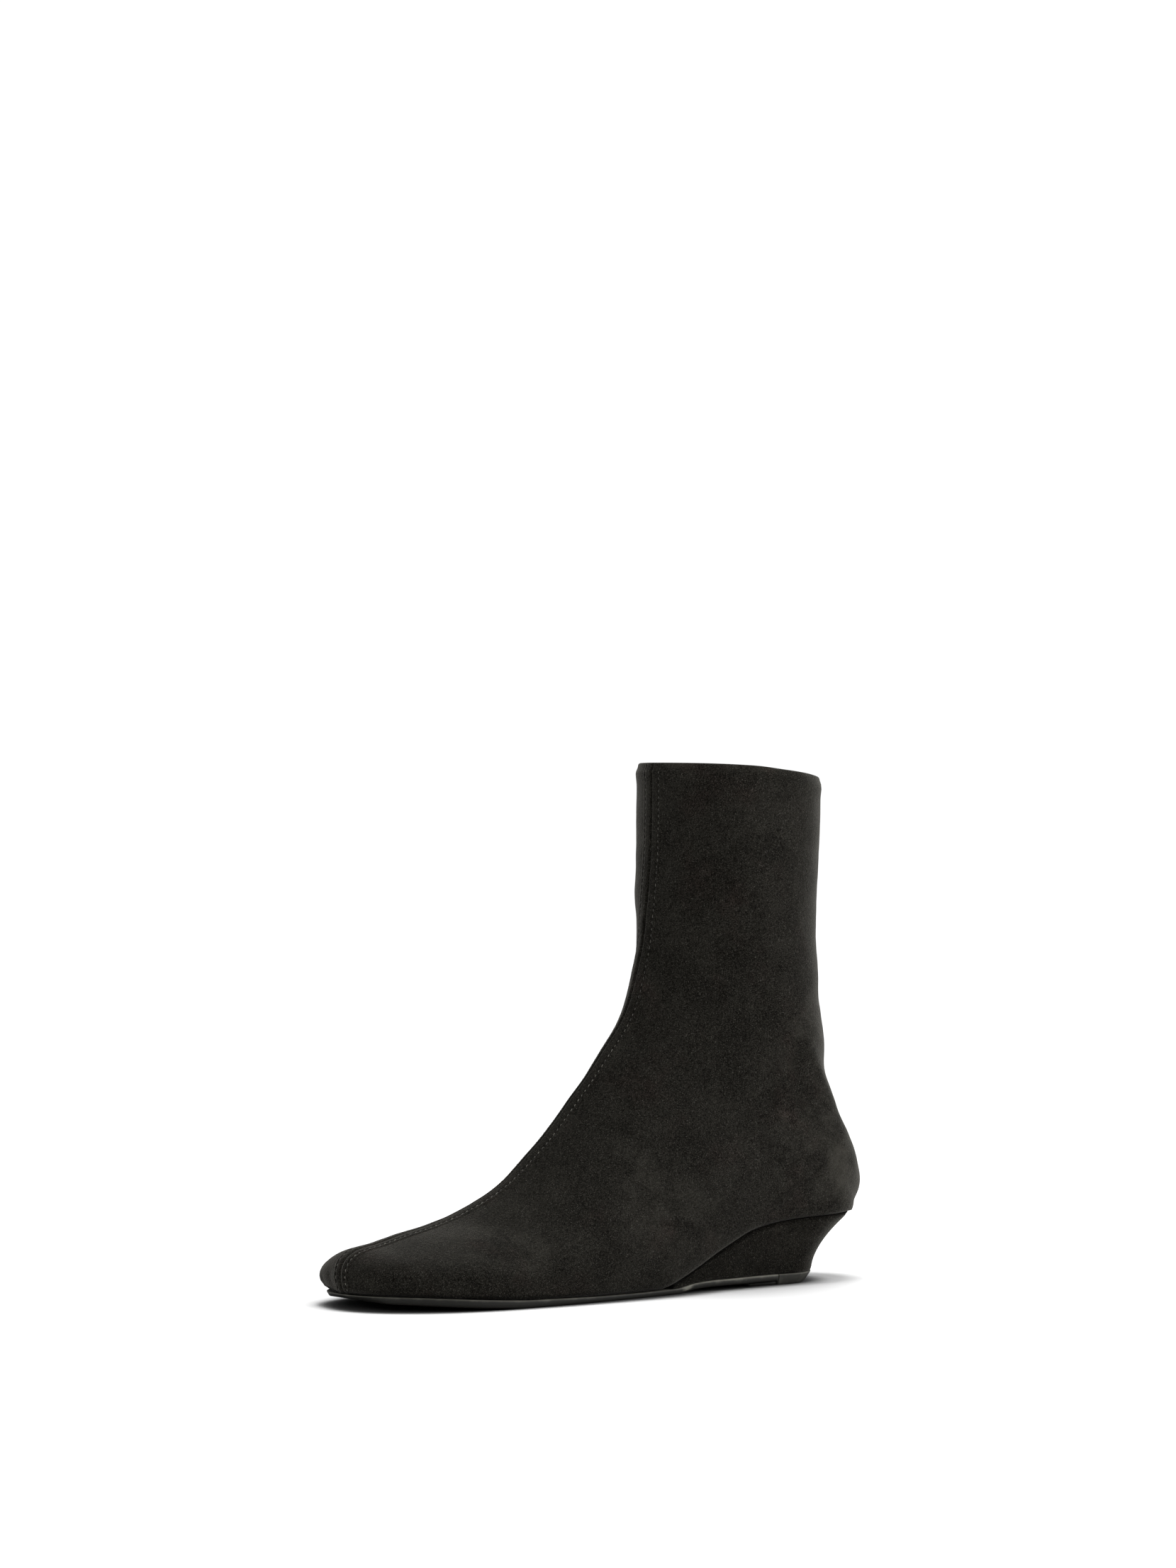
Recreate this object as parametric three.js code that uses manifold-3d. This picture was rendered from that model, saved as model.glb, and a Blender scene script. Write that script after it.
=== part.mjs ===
// Left ankle boot in suede on a low covered wedge heel, standing empty on its sole.
// Millimetres, +X towards the toe, +Y to the wearer's left, +Z up, origin under the middle of the boot.

import * as THREE from "three";
import { mergeVertices } from "three/addons/utils/BufferGeometryUtils.js";
import Module from "manifold-3d";

const wasm = await Module();
wasm.setup();

// Driving sizes of the boot

const LENGTH = 257.5;
const UPPER_HEIGHT = 188.4;
const HEEL_HEIGHT = 28.4;
const BALL_WIDTH = 83;
const HEEL_WIDTH = 58.6;
const SHAFT_DEPTH = 79;
const SHAFT_WIDTH = 71.5;
const TOE_DEPTH = 16.2;
const TOE_SPRING = 3.6;

// Thicknesses and clearances

const WALL = 1.9;
const SOLE_THICKNESS = 3.2;
const WAIST_THICKNESS = 2.6;
const INSOLE_THICKNESS = 2.4;
const GAP = 0.3;

// Raised seam down the middle of the front

const SEAM_HALF_WIDTH = 6.4;
const SEAM_STEP = 0.55;
const SEAM_GROOVE = 0.9;
const SEAM_FADE = 2.4 * SEAM_HALF_WIDTH;

// Places along the boot that more than one piece uses

const HEEL_CORNER = 0.0186 * LENGTH;
const TOE_TIP = 0.9934 * LENGTH;
const TREAD_FRONT = 0.745 * LENGTH;
const TREAD_BACK = 0.435 * LENGTH;
const SHAFT_BACK = 0.0866 * LENGTH;
const STRIP_END = 0.2117 * LENGTH;

// Wedge and top lift

const WEDGE_REACH = 0.447 * LENGTH;
const WEDGE_PIVOT = 0.31 * LENGTH;
const WEDGE_UNDERCUT = 0.35 * HEEL_WIDTH;
const WEDGE_HOLLOW = 1.8;
const WEDGE_TAPER = 0.14;
const STRIP_CLEARANCE = 1.8;
const LIFT_THICKNESS = STRIP_CLEARANCE + WAIST_THICKNESS;
const LIFT_TONGUE = 0.058 * LENGTH;
const LIFT_TONGUE_INSET = 5;
const LIFT_BEVEL = 0.5;
const LIFT_RAKE = 4;

// Small shaping sizes

const COLLAR_BOW = 1.3;
const SIDE_POWER = 1.75;
const LEVEL_FROM = 0.85;
const INSOLE_BEVEL = 0.8;
const BED_BLEND = 0.9;
const EDGE_INSET = 0.1;
const SOLE_EDGE_ROUND = 0.5;

// Facet counts

const BED_ROWS = 40;
const BACK_ROWS = 22;
const SIDE_COLUMNS = 12;
const SOLE_ROWS = 52;
const WEDGE_ROWS = 30;
const LIFT_ROWS = 18;
const WEDGE_DEPTHS = [0, 0.12, 0.26, 0.42, 0.6, 0.8, 1];

// Smooth curve through the rows of a table, read in any of its columns.
function tableCurve(rows, key, column) {
  const keys = rows.map((row) => row[key]);
  const values = rows.map((row) => row[column]);
  const last = keys.length - 1;
  const slope = (i) => {
    const before = Math.max(i - 1, 0);
    const after = Math.min(i + 1, last);
    return (values[after] - values[before]) / (keys[after] - keys[before]);
  };
  return (at) => {
    const ahead = keys.findIndex((value, i) => i > 0 && at <= value);
    const i = ahead < 0 ? last - 1 : ahead - 1;
    const span = keys[i + 1] - keys[i];
    const t = THREE.MathUtils.clamp((at - keys[i]) / span, 0, 1);
    const t2 = t * t;
    const t3 = t2 * t;
    return (
      (2 * t3 - 3 * t2 + 1) * values[i] +
      (t3 - 2 * t2 + t) * span * slope(i) +
      (3 * t2 - 2 * t3) * values[i + 1] +
      (t3 - t2) * span * slope(i + 1)
    );
  };
}

// Underside of the outsole: flat tread, toe spring, and a strip that clears the floor under the arch

const UNDERSIDE = [
  { x: 0, z: STRIP_CLEARANCE },
  { x: TREAD_BACK - 24, z: STRIP_CLEARANCE },
  { x: TREAD_BACK - 10, z: 0.72 * STRIP_CLEARANCE },
  { x: TREAD_BACK, z: 0 },
  { x: 0.5 * (TREAD_BACK + TREAD_FRONT), z: 0 },
  { x: TREAD_FRONT, z: 0 },
  { x: 0.82 * LENGTH, z: 0.25 * TOE_SPRING },
  { x: 0.88 * LENGTH, z: 0.53 * TOE_SPRING },
  { x: 0.94 * LENGTH, z: 0.79 * TOE_SPRING },
  { x: LENGTH, z: TOE_SPRING },
];
const undersideCurve = tableCurve(UNDERSIDE, "x", "z");
const underside = (x) => Math.max(0, undersideCurve(x));

// Thickness of the outsole

const SOLE_BODY = [
  { x: 0, z: WAIST_THICKNESS },
  { x: TREAD_BACK - 24, z: WAIST_THICKNESS },
  { x: 0.5 * LENGTH, z: 0.85 * WAIST_THICKNESS },
  { x: 0.6 * LENGTH, z: 0.9 * WAIST_THICKNESS },
  { x: 0.76 * LENGTH, z: SOLE_THICKNESS },
  { x: 0.9 * LENGTH, z: SOLE_THICKNESS },
  { x: LENGTH, z: 0.8 * SOLE_THICKNESS },
];
const soleBody = tableCurve(SOLE_BODY, "x", "z");

// Foot bed, the line where the upper meets wedge and outsole, as rise above the outsole

const BED_RISE = [
  { x: 0, z: HEEL_HEIGHT },
  { x: 0.1 * LENGTH, z: 0.993 * HEEL_HEIGHT },
  { x: 0.18 * LENGTH, z: 0.965 * HEEL_HEIGHT },
  { x: 0.235 * LENGTH, z: 0.905 * HEEL_HEIGHT },
  { x: 0.285 * LENGTH, z: 0.79 * HEEL_HEIGHT },
  { x: 0.34 * LENGTH, z: 0.58 * HEEL_HEIGHT },
  { x: 0.39 * LENGTH, z: 0.36 * HEEL_HEIGHT },
  { x: 0.425 * LENGTH, z: 0.21 * HEEL_HEIGHT },
  { x: 0.458 * LENGTH, z: 0.105 * HEEL_HEIGHT },
  { x: 0.5 * LENGTH, z: 0 },
  { x: LENGTH, z: 0 },
];
const bedRise = tableCurve(BED_RISE, "x", "z");

const soleTop = (x) => underside(x) + soleBody(x);

function bed(x) {
  const low = soleTop(x) + GAP;
  const rise = bedRise(x);
  if (rise > low + BED_BLEND) {
    return rise;
  }
  return low + Math.max(0, rise - low + BED_BLEND) ** 2 / (4 * BED_BLEND);
}

// Plan outline of the foot bed: half widths to the left and right of the front seam

const OUTLINE = [
  { x: 0, left: 0.5 * HEEL_WIDTH, right: 0.5 * HEEL_WIDTH },
  { x: 0.14 * LENGTH, left: 0.5 * HEEL_WIDTH, right: 0.5 * HEEL_WIDTH },
  { x: 0.26 * LENGTH, left: 0.345 * BALL_WIDTH, right: 0.32 * BALL_WIDTH },
  { x: 0.38 * LENGTH, left: 0.365 * BALL_WIDTH, right: 0.29 * BALL_WIDTH },
  { x: 0.5 * LENGTH, left: 0.425 * BALL_WIDTH, right: 0.345 * BALL_WIDTH },
  { x: 0.63 * LENGTH, left: 0.482 * BALL_WIDTH, right: 0.438 * BALL_WIDTH },
  { x: 0.74 * LENGTH, left: 0.506 * BALL_WIDTH, right: 0.485 * BALL_WIDTH },
  { x: 0.86 * LENGTH, left: 0.495 * BALL_WIDTH, right: 0.475 * BALL_WIDTH },
  { x: LENGTH, left: 0.42 * BALL_WIDTH, right: 0.41 * BALL_WIDTH },
];
const leftOutline = tableCurve(OUTLINE, "x", "left");
const rightOutline = tableCurve(OUTLINE, "x", "right");
const TOE_ROUND = { reach: 0.235 * LENGTH, power: 2.3 };
const HEEL_ROUND = { reach: 0.115 * LENGTH, power: 2.05 };

function endRound(distance, round) {
  const share = THREE.MathUtils.clamp(1 - distance / round.reach, 0, 1);
  return Math.pow(1 - Math.pow(share, round.power), 1 / round.power);
}

function halfWidth(x, side) {
  const table = side > 0 ? leftOutline(x) : rightOutline(x);
  return table * endRound(TOE_TIP - x, TOE_ROUND) * endRound(x - HEEL_CORNER, HEEL_ROUND);
}

// Front line of the upper in its middle plane, toe to collar, as rise above the bed

const FRONT_LINE = [
  { step: 0, x: TOE_TIP, rise: 0 },
  { step: 0.3, x: 0.9985 * LENGTH, rise: 0.2 * TOE_DEPTH },
  { step: 0.6, x: LENGTH, rise: 0.42 * TOE_DEPTH },
  { step: 0.9, x: 0.996 * LENGTH, rise: 0.65 * TOE_DEPTH },
  { step: 1.2, x: 0.985 * LENGTH, rise: 0.84 * TOE_DEPTH },
  { step: 1.6, x: 0.963 * LENGTH, rise: TOE_DEPTH },
  { step: 2.2, x: 0.92 * LENGTH, rise: 1.15 * TOE_DEPTH },
  { step: 3, x: 0.85 * LENGTH, rise: 0.13 * UPPER_HEIGHT },
  { step: 4, x: 0.77 * LENGTH, rise: 0.171 * UPPER_HEIGHT },
  { step: 5, x: 0.695 * LENGTH, rise: 0.225 * UPPER_HEIGHT },
  { step: 6, x: 0.617 * LENGTH, rise: 0.316 * UPPER_HEIGHT },
  { step: 7, x: 0.549 * LENGTH, rise: 0.415 * UPPER_HEIGHT },
  { step: 8, x: 0.489 * LENGTH, rise: 0.512 * UPPER_HEIGHT },
  { step: 9, x: 0.44 * LENGTH, rise: 0.597 * UPPER_HEIGHT },
  { step: 10, x: SHAFT_BACK + 1.066 * SHAFT_DEPTH, rise: 0.7 * UPPER_HEIGHT },
  { step: 11, x: SHAFT_BACK + 1.028 * SHAFT_DEPTH, rise: 0.812 * UPPER_HEIGHT },
  { step: 12, x: SHAFT_BACK + 1.008 * SHAFT_DEPTH, rise: 0.93 * UPPER_HEIGHT },
  { step: 13, x: SHAFT_BACK + 0.999 * SHAFT_DEPTH, rise: 1.099 * UPPER_HEIGHT },
];
const frontX = tableCurve(FRONT_LINE, "step", "x");
const frontRise = tableCurve(FRONT_LINE, "step", "rise");

// Back line of the upper, heel corner to collar, as rise above the heel seat

const BACK_LINE = [
  { step: 1, x: HEEL_CORNER, rise: 0 },
  { step: 1.1, x: 0, rise: 0.04 * UPPER_HEIGHT },
  { step: 1.2, x: 0.0045 * LENGTH, rise: 0.095 * UPPER_HEIGHT },
  { step: 1.3, x: 0.033 * LENGTH, rise: 0.155 * UPPER_HEIGHT },
  { step: 1.42, x: 0.066 * LENGTH, rise: 0.235 * UPPER_HEIGHT },
  { step: 1.52, x: 0.0785 * LENGTH, rise: 0.32 * UPPER_HEIGHT },
  { step: 1.6, x: 0.0815 * LENGTH, rise: 0.39 * UPPER_HEIGHT },
  { step: 1.68, x: 0.084 * LENGTH, rise: 0.465 * UPPER_HEIGHT },
  { step: 1.78, x: SHAFT_BACK + 0.018 * SHAFT_DEPTH, rise: 0.6 * UPPER_HEIGHT },
  { step: 1.89, x: SHAFT_BACK, rise: 0.77 * UPPER_HEIGHT },
  { step: 2, x: SHAFT_BACK - 0.014 * SHAFT_DEPTH, rise: 0.964 * UPPER_HEIGHT },
];
const backX = tableCurve(BACK_LINE, "step", "x");
const backRise = tableCurve(BACK_LINE, "step", "rise");

// Widths of the last. "under" runs 0 to 1 along the bed from toe to heel corner, then 1 to 2 up the back.
// "front" is the step on the front line that the section starts from, left and right its widest half widths.

const SECTION_WIDTHS = [
  { under: 0, front: 0, left: 0, right: 0 },
  { under: 0.05, front: 0.33, left: 0.12 * BALL_WIDTH, right: 0.112 * BALL_WIDTH },
  { under: 0.1, front: 0.72, left: 0.225 * BALL_WIDTH, right: 0.208 * BALL_WIDTH },
  { under: 0.16, front: 1.25, left: 0.327 * BALL_WIDTH, right: 0.302 * BALL_WIDTH },
  { under: 0.23, front: 2.2, left: 0.418 * BALL_WIDTH, right: 0.397 * BALL_WIDTH },
  { under: 0.31, front: 3.3, left: 0.49 * BALL_WIDTH, right: 0.47 * BALL_WIDTH },
  { under: 0.4, front: 4.6, left: 0.513 * BALL_WIDTH, right: 0.498 * BALL_WIDTH },
  { under: 0.5, front: 6.2, left: 0.485 * BALL_WIDTH, right: 0.455 * BALL_WIDTH },
  { under: 0.6, front: 7.7, left: 0.44 * BALL_WIDTH, right: 0.41 * BALL_WIDTH },
  { under: 0.7, front: 8.9, left: 0.575 * HEEL_WIDTH, right: 0.56 * HEEL_WIDTH },
  { under: 0.82, front: 9.6, left: 0.567 * HEEL_WIDTH, right: 0.555 * HEEL_WIDTH },
  { under: 1, front: 10.3, left: 0.572 * HEEL_WIDTH, right: 0.565 * HEEL_WIDTH },
  { under: 1.2, front: 10.7, left: 0.578 * HEEL_WIDTH, right: 0.575 * HEEL_WIDTH },
  { under: 1.42, front: 11.25, left: 0.487 * SHAFT_WIDTH, right: 0.487 * SHAFT_WIDTH },
  { under: 1.66, front: 11.9, left: 0.49 * SHAFT_WIDTH, right: 0.49 * SHAFT_WIDTH },
  { under: 2, front: 13, left: 0.5 * SHAFT_WIDTH, right: 0.5 * SHAFT_WIDTH },
];
const sectionFront = tableCurve(SECTION_WIDTHS, "under", "front");
const sectionLeft = tableCurve(SECTION_WIDTHS, "under", "left");
const sectionRight = tableCurve(SECTION_WIDTHS, "under", "right");

// Fullness of the sections as powers of their outline: "crown" above the widest line on the left, "inner"
// above it on the right, "flank" below it, "foot" where it meets the bed. "peak" is how high the widest line is.

const SECTION_SHAPES = [
  { under: 0, peak: 0.4, crown: 2, inner: 2, flank: 2, foot: 1.8 },
  { under: 0.1, peak: 0.4, crown: 2, inner: 1.65, flank: 2, foot: 1.8 },
  { under: 0.16, peak: 0.38, crown: 1.85, inner: 1.45, flank: 2, foot: 1.8 },
  { under: 0.23, peak: 0.36, crown: 1.6, inner: 1.24, flank: 2, foot: 1.8 },
  { under: 0.31, peak: 0.32, crown: 1.42, inner: 1.12, flank: 2, foot: 1.8 },
  { under: 0.4, peak: 0.27, crown: 1.38, inner: 1.1, flank: 2, foot: 1.8 },
  { under: 0.5, peak: 0.24, crown: 1.45, inner: 1.18, flank: 2, foot: 1.8 },
  { under: 0.6, peak: 0.28, crown: 1.58, inner: 1.32, flank: 2, foot: 1.8 },
  { under: 0.7, peak: 0.36, crown: 1.72, inner: 1.47, flank: 2.1, foot: 1.8 },
  { under: 0.82, peak: 0.43, crown: 1.85, inner: 1.65, flank: 2.2, foot: 1.8 },
  { under: 0.92, peak: 0.455, crown: 1.91, inner: 1.73, flank: 2.25, foot: 1.85 },
  { under: 1, peak: 0.47, crown: 1.95, inner: 1.8, flank: 2.25, foot: 2.5 },
  { under: 1.1, peak: 0.475, crown: 1.98, inner: 1.86, flank: 2.22, foot: 2.15 },
  { under: 1.2, peak: 0.48, crown: 2, inner: 1.92, flank: 2.2, foot: 2.1 },
  { under: 1.42, peak: 0.49, crown: 2, inner: 2, flank: 2.05, foot: 2.05 },
  { under: 1.66, peak: 0.5, crown: 2, inner: 2, flank: 2, foot: 2 },
  { under: 2, peak: 0.5, crown: 2, inner: 2, flank: 2, foot: 2 },
];
const sectionPeak = tableCurve(SECTION_SHAPES, "under", "peak");
const sectionCrown = tableCurve(SECTION_SHAPES, "under", "crown");
const sectionInner = tableCurve(SECTION_SHAPES, "under", "inner");
const sectionFlank = tableCurve(SECTION_SHAPES, "under", "flank");
const sectionFoot = tableCurve(SECTION_SHAPES, "under", "foot");

const bedX = (under) => HEEL_CORNER + (TOE_TIP - HEEL_CORNER) * 0.5 * (1 + Math.cos(Math.PI * under));

// One planar section of the last: its two end points in the middle plane and its two half outlines.
function section(under) {
  const step = sectionFront(under);
  const x = frontX(step);
  const onBed = under < 1;
  const footX = onBed ? bedX(under) : backX(under);
  const footZ = onBed ? bed(footX) : bed(HEEL_CORNER) + backRise(under);
  const half = (side, wide, crown) => {
    const foot = onBed ? halfWidth(footX, side) : 0;
    return { foot, wide: Math.max(wide(under), foot), crown: crown(under) };
  };
  return {
    front: new THREE.Vector3(x, 0, bed(x) + frontRise(step)),
    base: new THREE.Vector3(footX, 0, footZ),
    left: half(1, sectionLeft, sectionCrown),
    right: half(-1, sectionRight, sectionInner),
    peak: sectionPeak(under),
    flank: sectionFlank(under),
    foot: sectionFoot(under),
    bow: COLLAR_BOW * THREE.MathUtils.smoothstep(under, 1.6, 2),
  };
}

// Point of the last's surface: "round" runs from 0 at the front line to 1 at the foot, on one side.
function lastPoint(cut, side, round) {
  const { foot, wide, crown } = side > 0 ? cut.left : cut.right;
  const above = round < 0.5;
  const angle = (above ? round : round - 0.5) * Math.PI;
  const sine = Math.pow(Math.sin(angle), 2 / (above ? crown : cut.flank));
  const endPower = above ? Math.max(crown, SIDE_POWER) : cut.foot;
  const cosine = Math.pow(Math.max(Math.cos(angle), 0), 2 / endPower);
  const along = above ? cut.peak + (1 - cut.peak) * cosine : cut.peak * (1 - sine);
  const point = cut.base.clone().lerp(cut.front, along);
  point.y = side * (above ? wide * sine : foot + (wide - foot) * cosine);
  point.z += cut.bow * 4 * along * (1 - along);
  return point;
}

// Outward direction of the last's surface, from small steps along and around it.
function lastNormal(under, side, round) {
  if (under === 0) {
    return new THREE.Vector3(1, 0, 0);
  }
  const small = 0.004;
  const low = THREE.MathUtils.clamp(under - small, small, 2 - 2 * small);
  const at = (position, turn) => lastPoint(section(position), side, turn);
  const along = at(low + 2 * small, round).sub(at(low, round));
  const around = at(under, Math.min(round + small, 1)).sub(at(under, Math.max(round - small, 0)));
  const normal = along.cross(around).multiplyScalar(-side);
  if (round === 0 || (round === 1 && under >= 1)) {
    normal.y = 0;
  }
  const level = THREE.MathUtils.smoothstep(round, LEVEL_FROM, 1);
  if (under <= 1) {
    normal.z *= 1 - level;
  }
  return normal.normalize();
}

// Rounds from the front line that carry the edges of the raised seam, then even ones down to the foot.
function seamRounds(cut, side) {
  const { wide, crown } = side > 0 ? cut.left : cut.right;
  const share = Math.min(1, wide / SEAM_FADE);
  const edges = [
    { across: 0, raised: 0 },
    { across: 0.5 * SEAM_GROOVE, raised: 0 },
    { across: SEAM_GROOVE, raised: 1 },
    { across: SEAM_HALF_WIDTH - SEAM_STEP, raised: 1 },
    { across: SEAM_HALF_WIDTH, raised: 0 },
  ];
  const rounds = edges.map((edge) => ({
    round: Math.asin(Math.pow(edge.across / Math.max(wide, SEAM_FADE), crown / 2)) / Math.PI,
    raise: edge.raised * SEAM_STEP * share,
  }));
  const start = rounds[rounds.length - 1].round;
  for (let i = 1; i <= SIDE_COLUMNS; i += 1) {
    rounds.push({ round: THREE.MathUtils.lerp(start, 1, i / SIDE_COLUMNS), raise: 0 });
  }
  return rounds;
}

// Rows of points from the toe to the heel corner and up the back, each from the left foot edge over the
// front line to the right one. The outer skin has "wall" 0 and the raised seam, the inner skin is moved in.
function skinRows(wall) {
  const rows = [];
  for (let i = 0; i <= BED_ROWS + BACK_ROWS; i += 1) {
    const under = i <= BED_ROWS ? i / BED_ROWS : 1 + (i - BED_ROWS) / BACK_ROWS;
    const cut = section(under);
    const half = (side) =>
      seamRounds(cut, side).map(({ round, raise }) => {
        const out = wall > 0 ? -wall : raise;
        return lastPoint(cut, side, round).addScaledVector(lastNormal(under, side, round), out);
      });
    rows.push([...half(1).reverse(), ...half(-1).slice(1)]);
  }
  return rows;
}

// Merged, closed solid from points and triangles, turned so that its faces point out.
function solidFromTriangles(points, index) {
  const geometry = new THREE.BufferGeometry().setFromPoints(points);
  geometry.setIndex(index);
  const merged = mergeVertices(geometry, 1e-3);
  const corners = merged.index.array;
  const kept = [];
  for (let i = 0; i < corners.length; i += 3) {
    const [a, b, c] = [corners[i], corners[i + 1], corners[i + 2]];
    if (a !== b && b !== c && c !== a) {
      kept.push(a, b, c);
    }
  }
  const at = (i) => new THREE.Vector3().fromBufferAttribute(merged.attributes.position, i);
  let volume = 0;
  for (let i = 0; i < kept.length; i += 3) {
    volume += at(kept[i]).dot(at(kept[i + 1]).cross(at(kept[i + 2])));
  }
  if (volume < 0) {
    kept.reverse();
  }
  return new wasm.Manifold(
    new wasm.Mesh({
      numProp: 3,
      vertProperties: new Float32Array(merged.attributes.position.array),
      triVerts: new Uint32Array(kept),
    }),
  );
}

function geometryOf(solid) {
  const mesh = solid.getMesh();
  const geometry = new THREE.BufferGeometry();
  geometry.setAttribute("position", new THREE.BufferAttribute(mesh.vertProperties, 3));
  geometry.setIndex(new THREE.BufferAttribute(mesh.triVerts, 1));
  geometry.computeVertexNormals();
  return geometry;
}

// Plan outline of the bed as matching left and right points from toe to heel, moved in by "inset".
function bedOutline(inset, count, from = 0, to = 1) {
  const small = 0.002;
  const edge = (under, side) => {
    const x = bedX(under);
    return new THREE.Vector2(x, side * halfWidth(x, side));
  };
  const inward = (under, side) => {
    if (under === 0 || under === 1) {
      return new THREE.Vector2(under === 0 ? -1 : 1, 0);
    }
    const ahead = edge(Math.min(under + small, 1), side);
    const behind = edge(Math.max(under - small, 0), side);
    return new THREE.Vector2(behind.y - ahead.y, ahead.x - behind.x).multiplyScalar(side).normalize();
  };
  const moved = (under, side) => edge(under, side).addScaledVector(inward(under, side), inset);
  const list = [];
  for (let i = 0; i <= count; i += 1) {
    const under = from + ((to - from) * i) / count;
    list.push({ left: moved(under, 1), right: moved(under, -1) });
  }
  return list;
}

// Plate whose layers each hold an outline and a height along the boot, from top to bottom.
function plate(layers) {
  const points = [];
  const index = [];
  const count = layers[0].outline.length;
  for (const { outline, height } of layers) {
    for (const { left, right } of outline) {
      points.push(new THREE.Vector3(left.x, left.y, height(left.x)));
      points.push(new THREE.Vector3(right.x, right.y, height(right.x)));
    }
  }
  const left = (layer, i) => 2 * (layer * count + i);
  const right = (layer, i) => left(layer, i) + 1;
  const quad = (a, b, c, d) => index.push(a, b, c, a, c, d);
  const bottom = layers.length - 1;
  for (let i = 0; i + 1 < count; i += 1) {
    quad(left(0, i), left(0, i + 1), right(0, i + 1), right(0, i));
    quad(right(bottom, i), right(bottom, i + 1), left(bottom, i + 1), left(bottom, i));
  }
  for (let layer = 0; layer < bottom; layer += 1) {
    const below = layer + 1;
    for (let i = 0; i + 1 < count; i += 1) {
      quad(left(below, i), left(below, i + 1), left(layer, i + 1), left(layer, i));
      quad(right(layer, i), right(layer, i + 1), right(below, i + 1), right(below, i));
    }
    const end = count - 1;
    quad(left(layer, 0), right(layer, 0), right(below, 0), left(below, 0));
    quad(left(below, end), right(below, end), right(layer, end), left(layer, end));
  }
  return solidFromTriangles(points, index);
}

// Hollow upper, open at the collar and under the foot, with the front seam as a step in its wall.
function upper() {
  const outer = skinRows(0);
  const inner = skinRows(WALL);
  const points = [...outer.flat(), ...inner.flat()];
  const count = outer[0].length;
  const inside = outer.length * count;
  const index = [];
  const quad = (a, b, c, d) => index.push(a, b, c, a, c, d);
  for (let row = 0; row < BED_ROWS + BACK_ROWS; row += 1) {
    for (let i = 0; i + 1 < count; i += 1) {
      const a = row * count + i;
      quad(a, a + 1, a + 1 + count, a + count);
      quad(inside + a, inside + a + count, inside + a + 1 + count, inside + a + 1);
    }
  }
  for (let row = 0; row < BED_ROWS; row += 1) {
    const left = row * count;
    const right = left + count - 1;
    quad(left, left + count, inside + left + count, inside + left);
    quad(right, inside + right, inside + right + count, right + count);
  }
  const collar = inside - count;
  for (let i = collar; i + 1 < inside; i += 1) {
    quad(i, i + 1, inside + i + 1, inside + i);
  }
  return solidFromTriangles(points, index);
}

function insole() {
  const edge = WALL + 2 * GAP;
  return plate([
    { outline: bedOutline(edge + INSOLE_BEVEL, SOLE_ROWS), height: (x) => bed(x) + INSOLE_THICKNESS },
    { outline: bedOutline(edge, SOLE_ROWS), height: bed },
  ]);
}

// Position on the bed, from toe 0 to heel corner 1, that lies at x.
const underAt = (x) => Math.acos((2 * (x - HEEL_CORNER)) / (TOE_TIP - HEEL_CORNER) - 1) / Math.PI;

// Outline of the bed drawn in towards the front under the heel, by "draw" at the heel corner.
function wedgeOutline(draw, inset, reach, count) {
  const pull = (point) => {
    const share = THREE.MathUtils.clamp((WEDGE_PIVOT - point.x) / (WEDGE_PIVOT - HEEL_CORNER), 0, 1);
    const taper = (draw / WEDGE_UNDERCUT) * WEDGE_TAPER * Math.min(1, 2 * share);
    return new THREE.Vector2(point.x + draw * share, point.y * (1 - taper));
  };
  const outline = bedOutline(inset, count, underAt(reach), 1);
  return outline.map(({ left, right }) => ({ left: pull(left), right: pull(right) }));
}

// Place on the bed that the same draw moves to x.
function beforeDraw(x, draw) {
  const share = draw / (WEDGE_PIVOT - HEEL_CORNER);
  return (x - share * WEDGE_PIVOT) / (1 - share);
}

// Height of the wedge's underside, on the strip and on the top lift behind it.
const wedgeFloor = (x) => Math.max(soleTop(x), x < STRIP_END ? LIFT_THICKNESS : 0) + GAP;

function wedge() {
  const layers = WEDGE_DEPTHS.map((depth) => {
    const draw = WEDGE_UNDERCUT * (1 - Math.pow(1 - depth, WEDGE_HOLLOW));
    return {
      outline: wedgeOutline(draw, EDGE_INSET, WEDGE_REACH, WEDGE_ROWS),
      height: (x) => THREE.MathUtils.lerp(bed(x) - GAP, wedgeFloor(x), depth),
    };
  });
  return plate(layers);
}

function outsole() {
  const end = underAt(STRIP_END);
  return plate([
    { outline: bedOutline(EDGE_INSET, SOLE_ROWS, 0, end), height: soleTop },
    { outline: bedOutline(0, SOLE_ROWS, 0, end), height: (x) => soleTop(x) - 0.4 * soleBody(x) },
    { outline: bedOutline(SOLE_EDGE_ROUND, SOLE_ROWS, 0, end), height: underside },
  ]);
}

// Heel piece on the floor: a full block behind the strip, and a thin tongue that runs on below the strip.
function topLift() {
  const layer = (draw, inset, height) => ({
    outline: wedgeOutline(draw, inset, beforeDraw(STRIP_END - GAP, draw), LIFT_ROWS),
    height: () => height,
  });
  const block = plate([
    layer(WEDGE_UNDERCUT, EDGE_INSET, LIFT_THICKNESS),
    layer(WEDGE_UNDERCUT + LIFT_RAKE, LIFT_BEVEL, 0),
  ]);
  const tongueFront = underAt(STRIP_END + LIFT_TONGUE);
  const tongueBack = underAt(STRIP_END - LIFT_TONGUE);
  const outline = bedOutline(LIFT_TONGUE_INSET, LIFT_ROWS, tongueFront, tongueBack);
  const tongue = plate([
    { outline, height: (x) => underside(x) - GAP },
    { outline, height: () => 0 },
  ]);
  return block.add(tongue);
}

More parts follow.
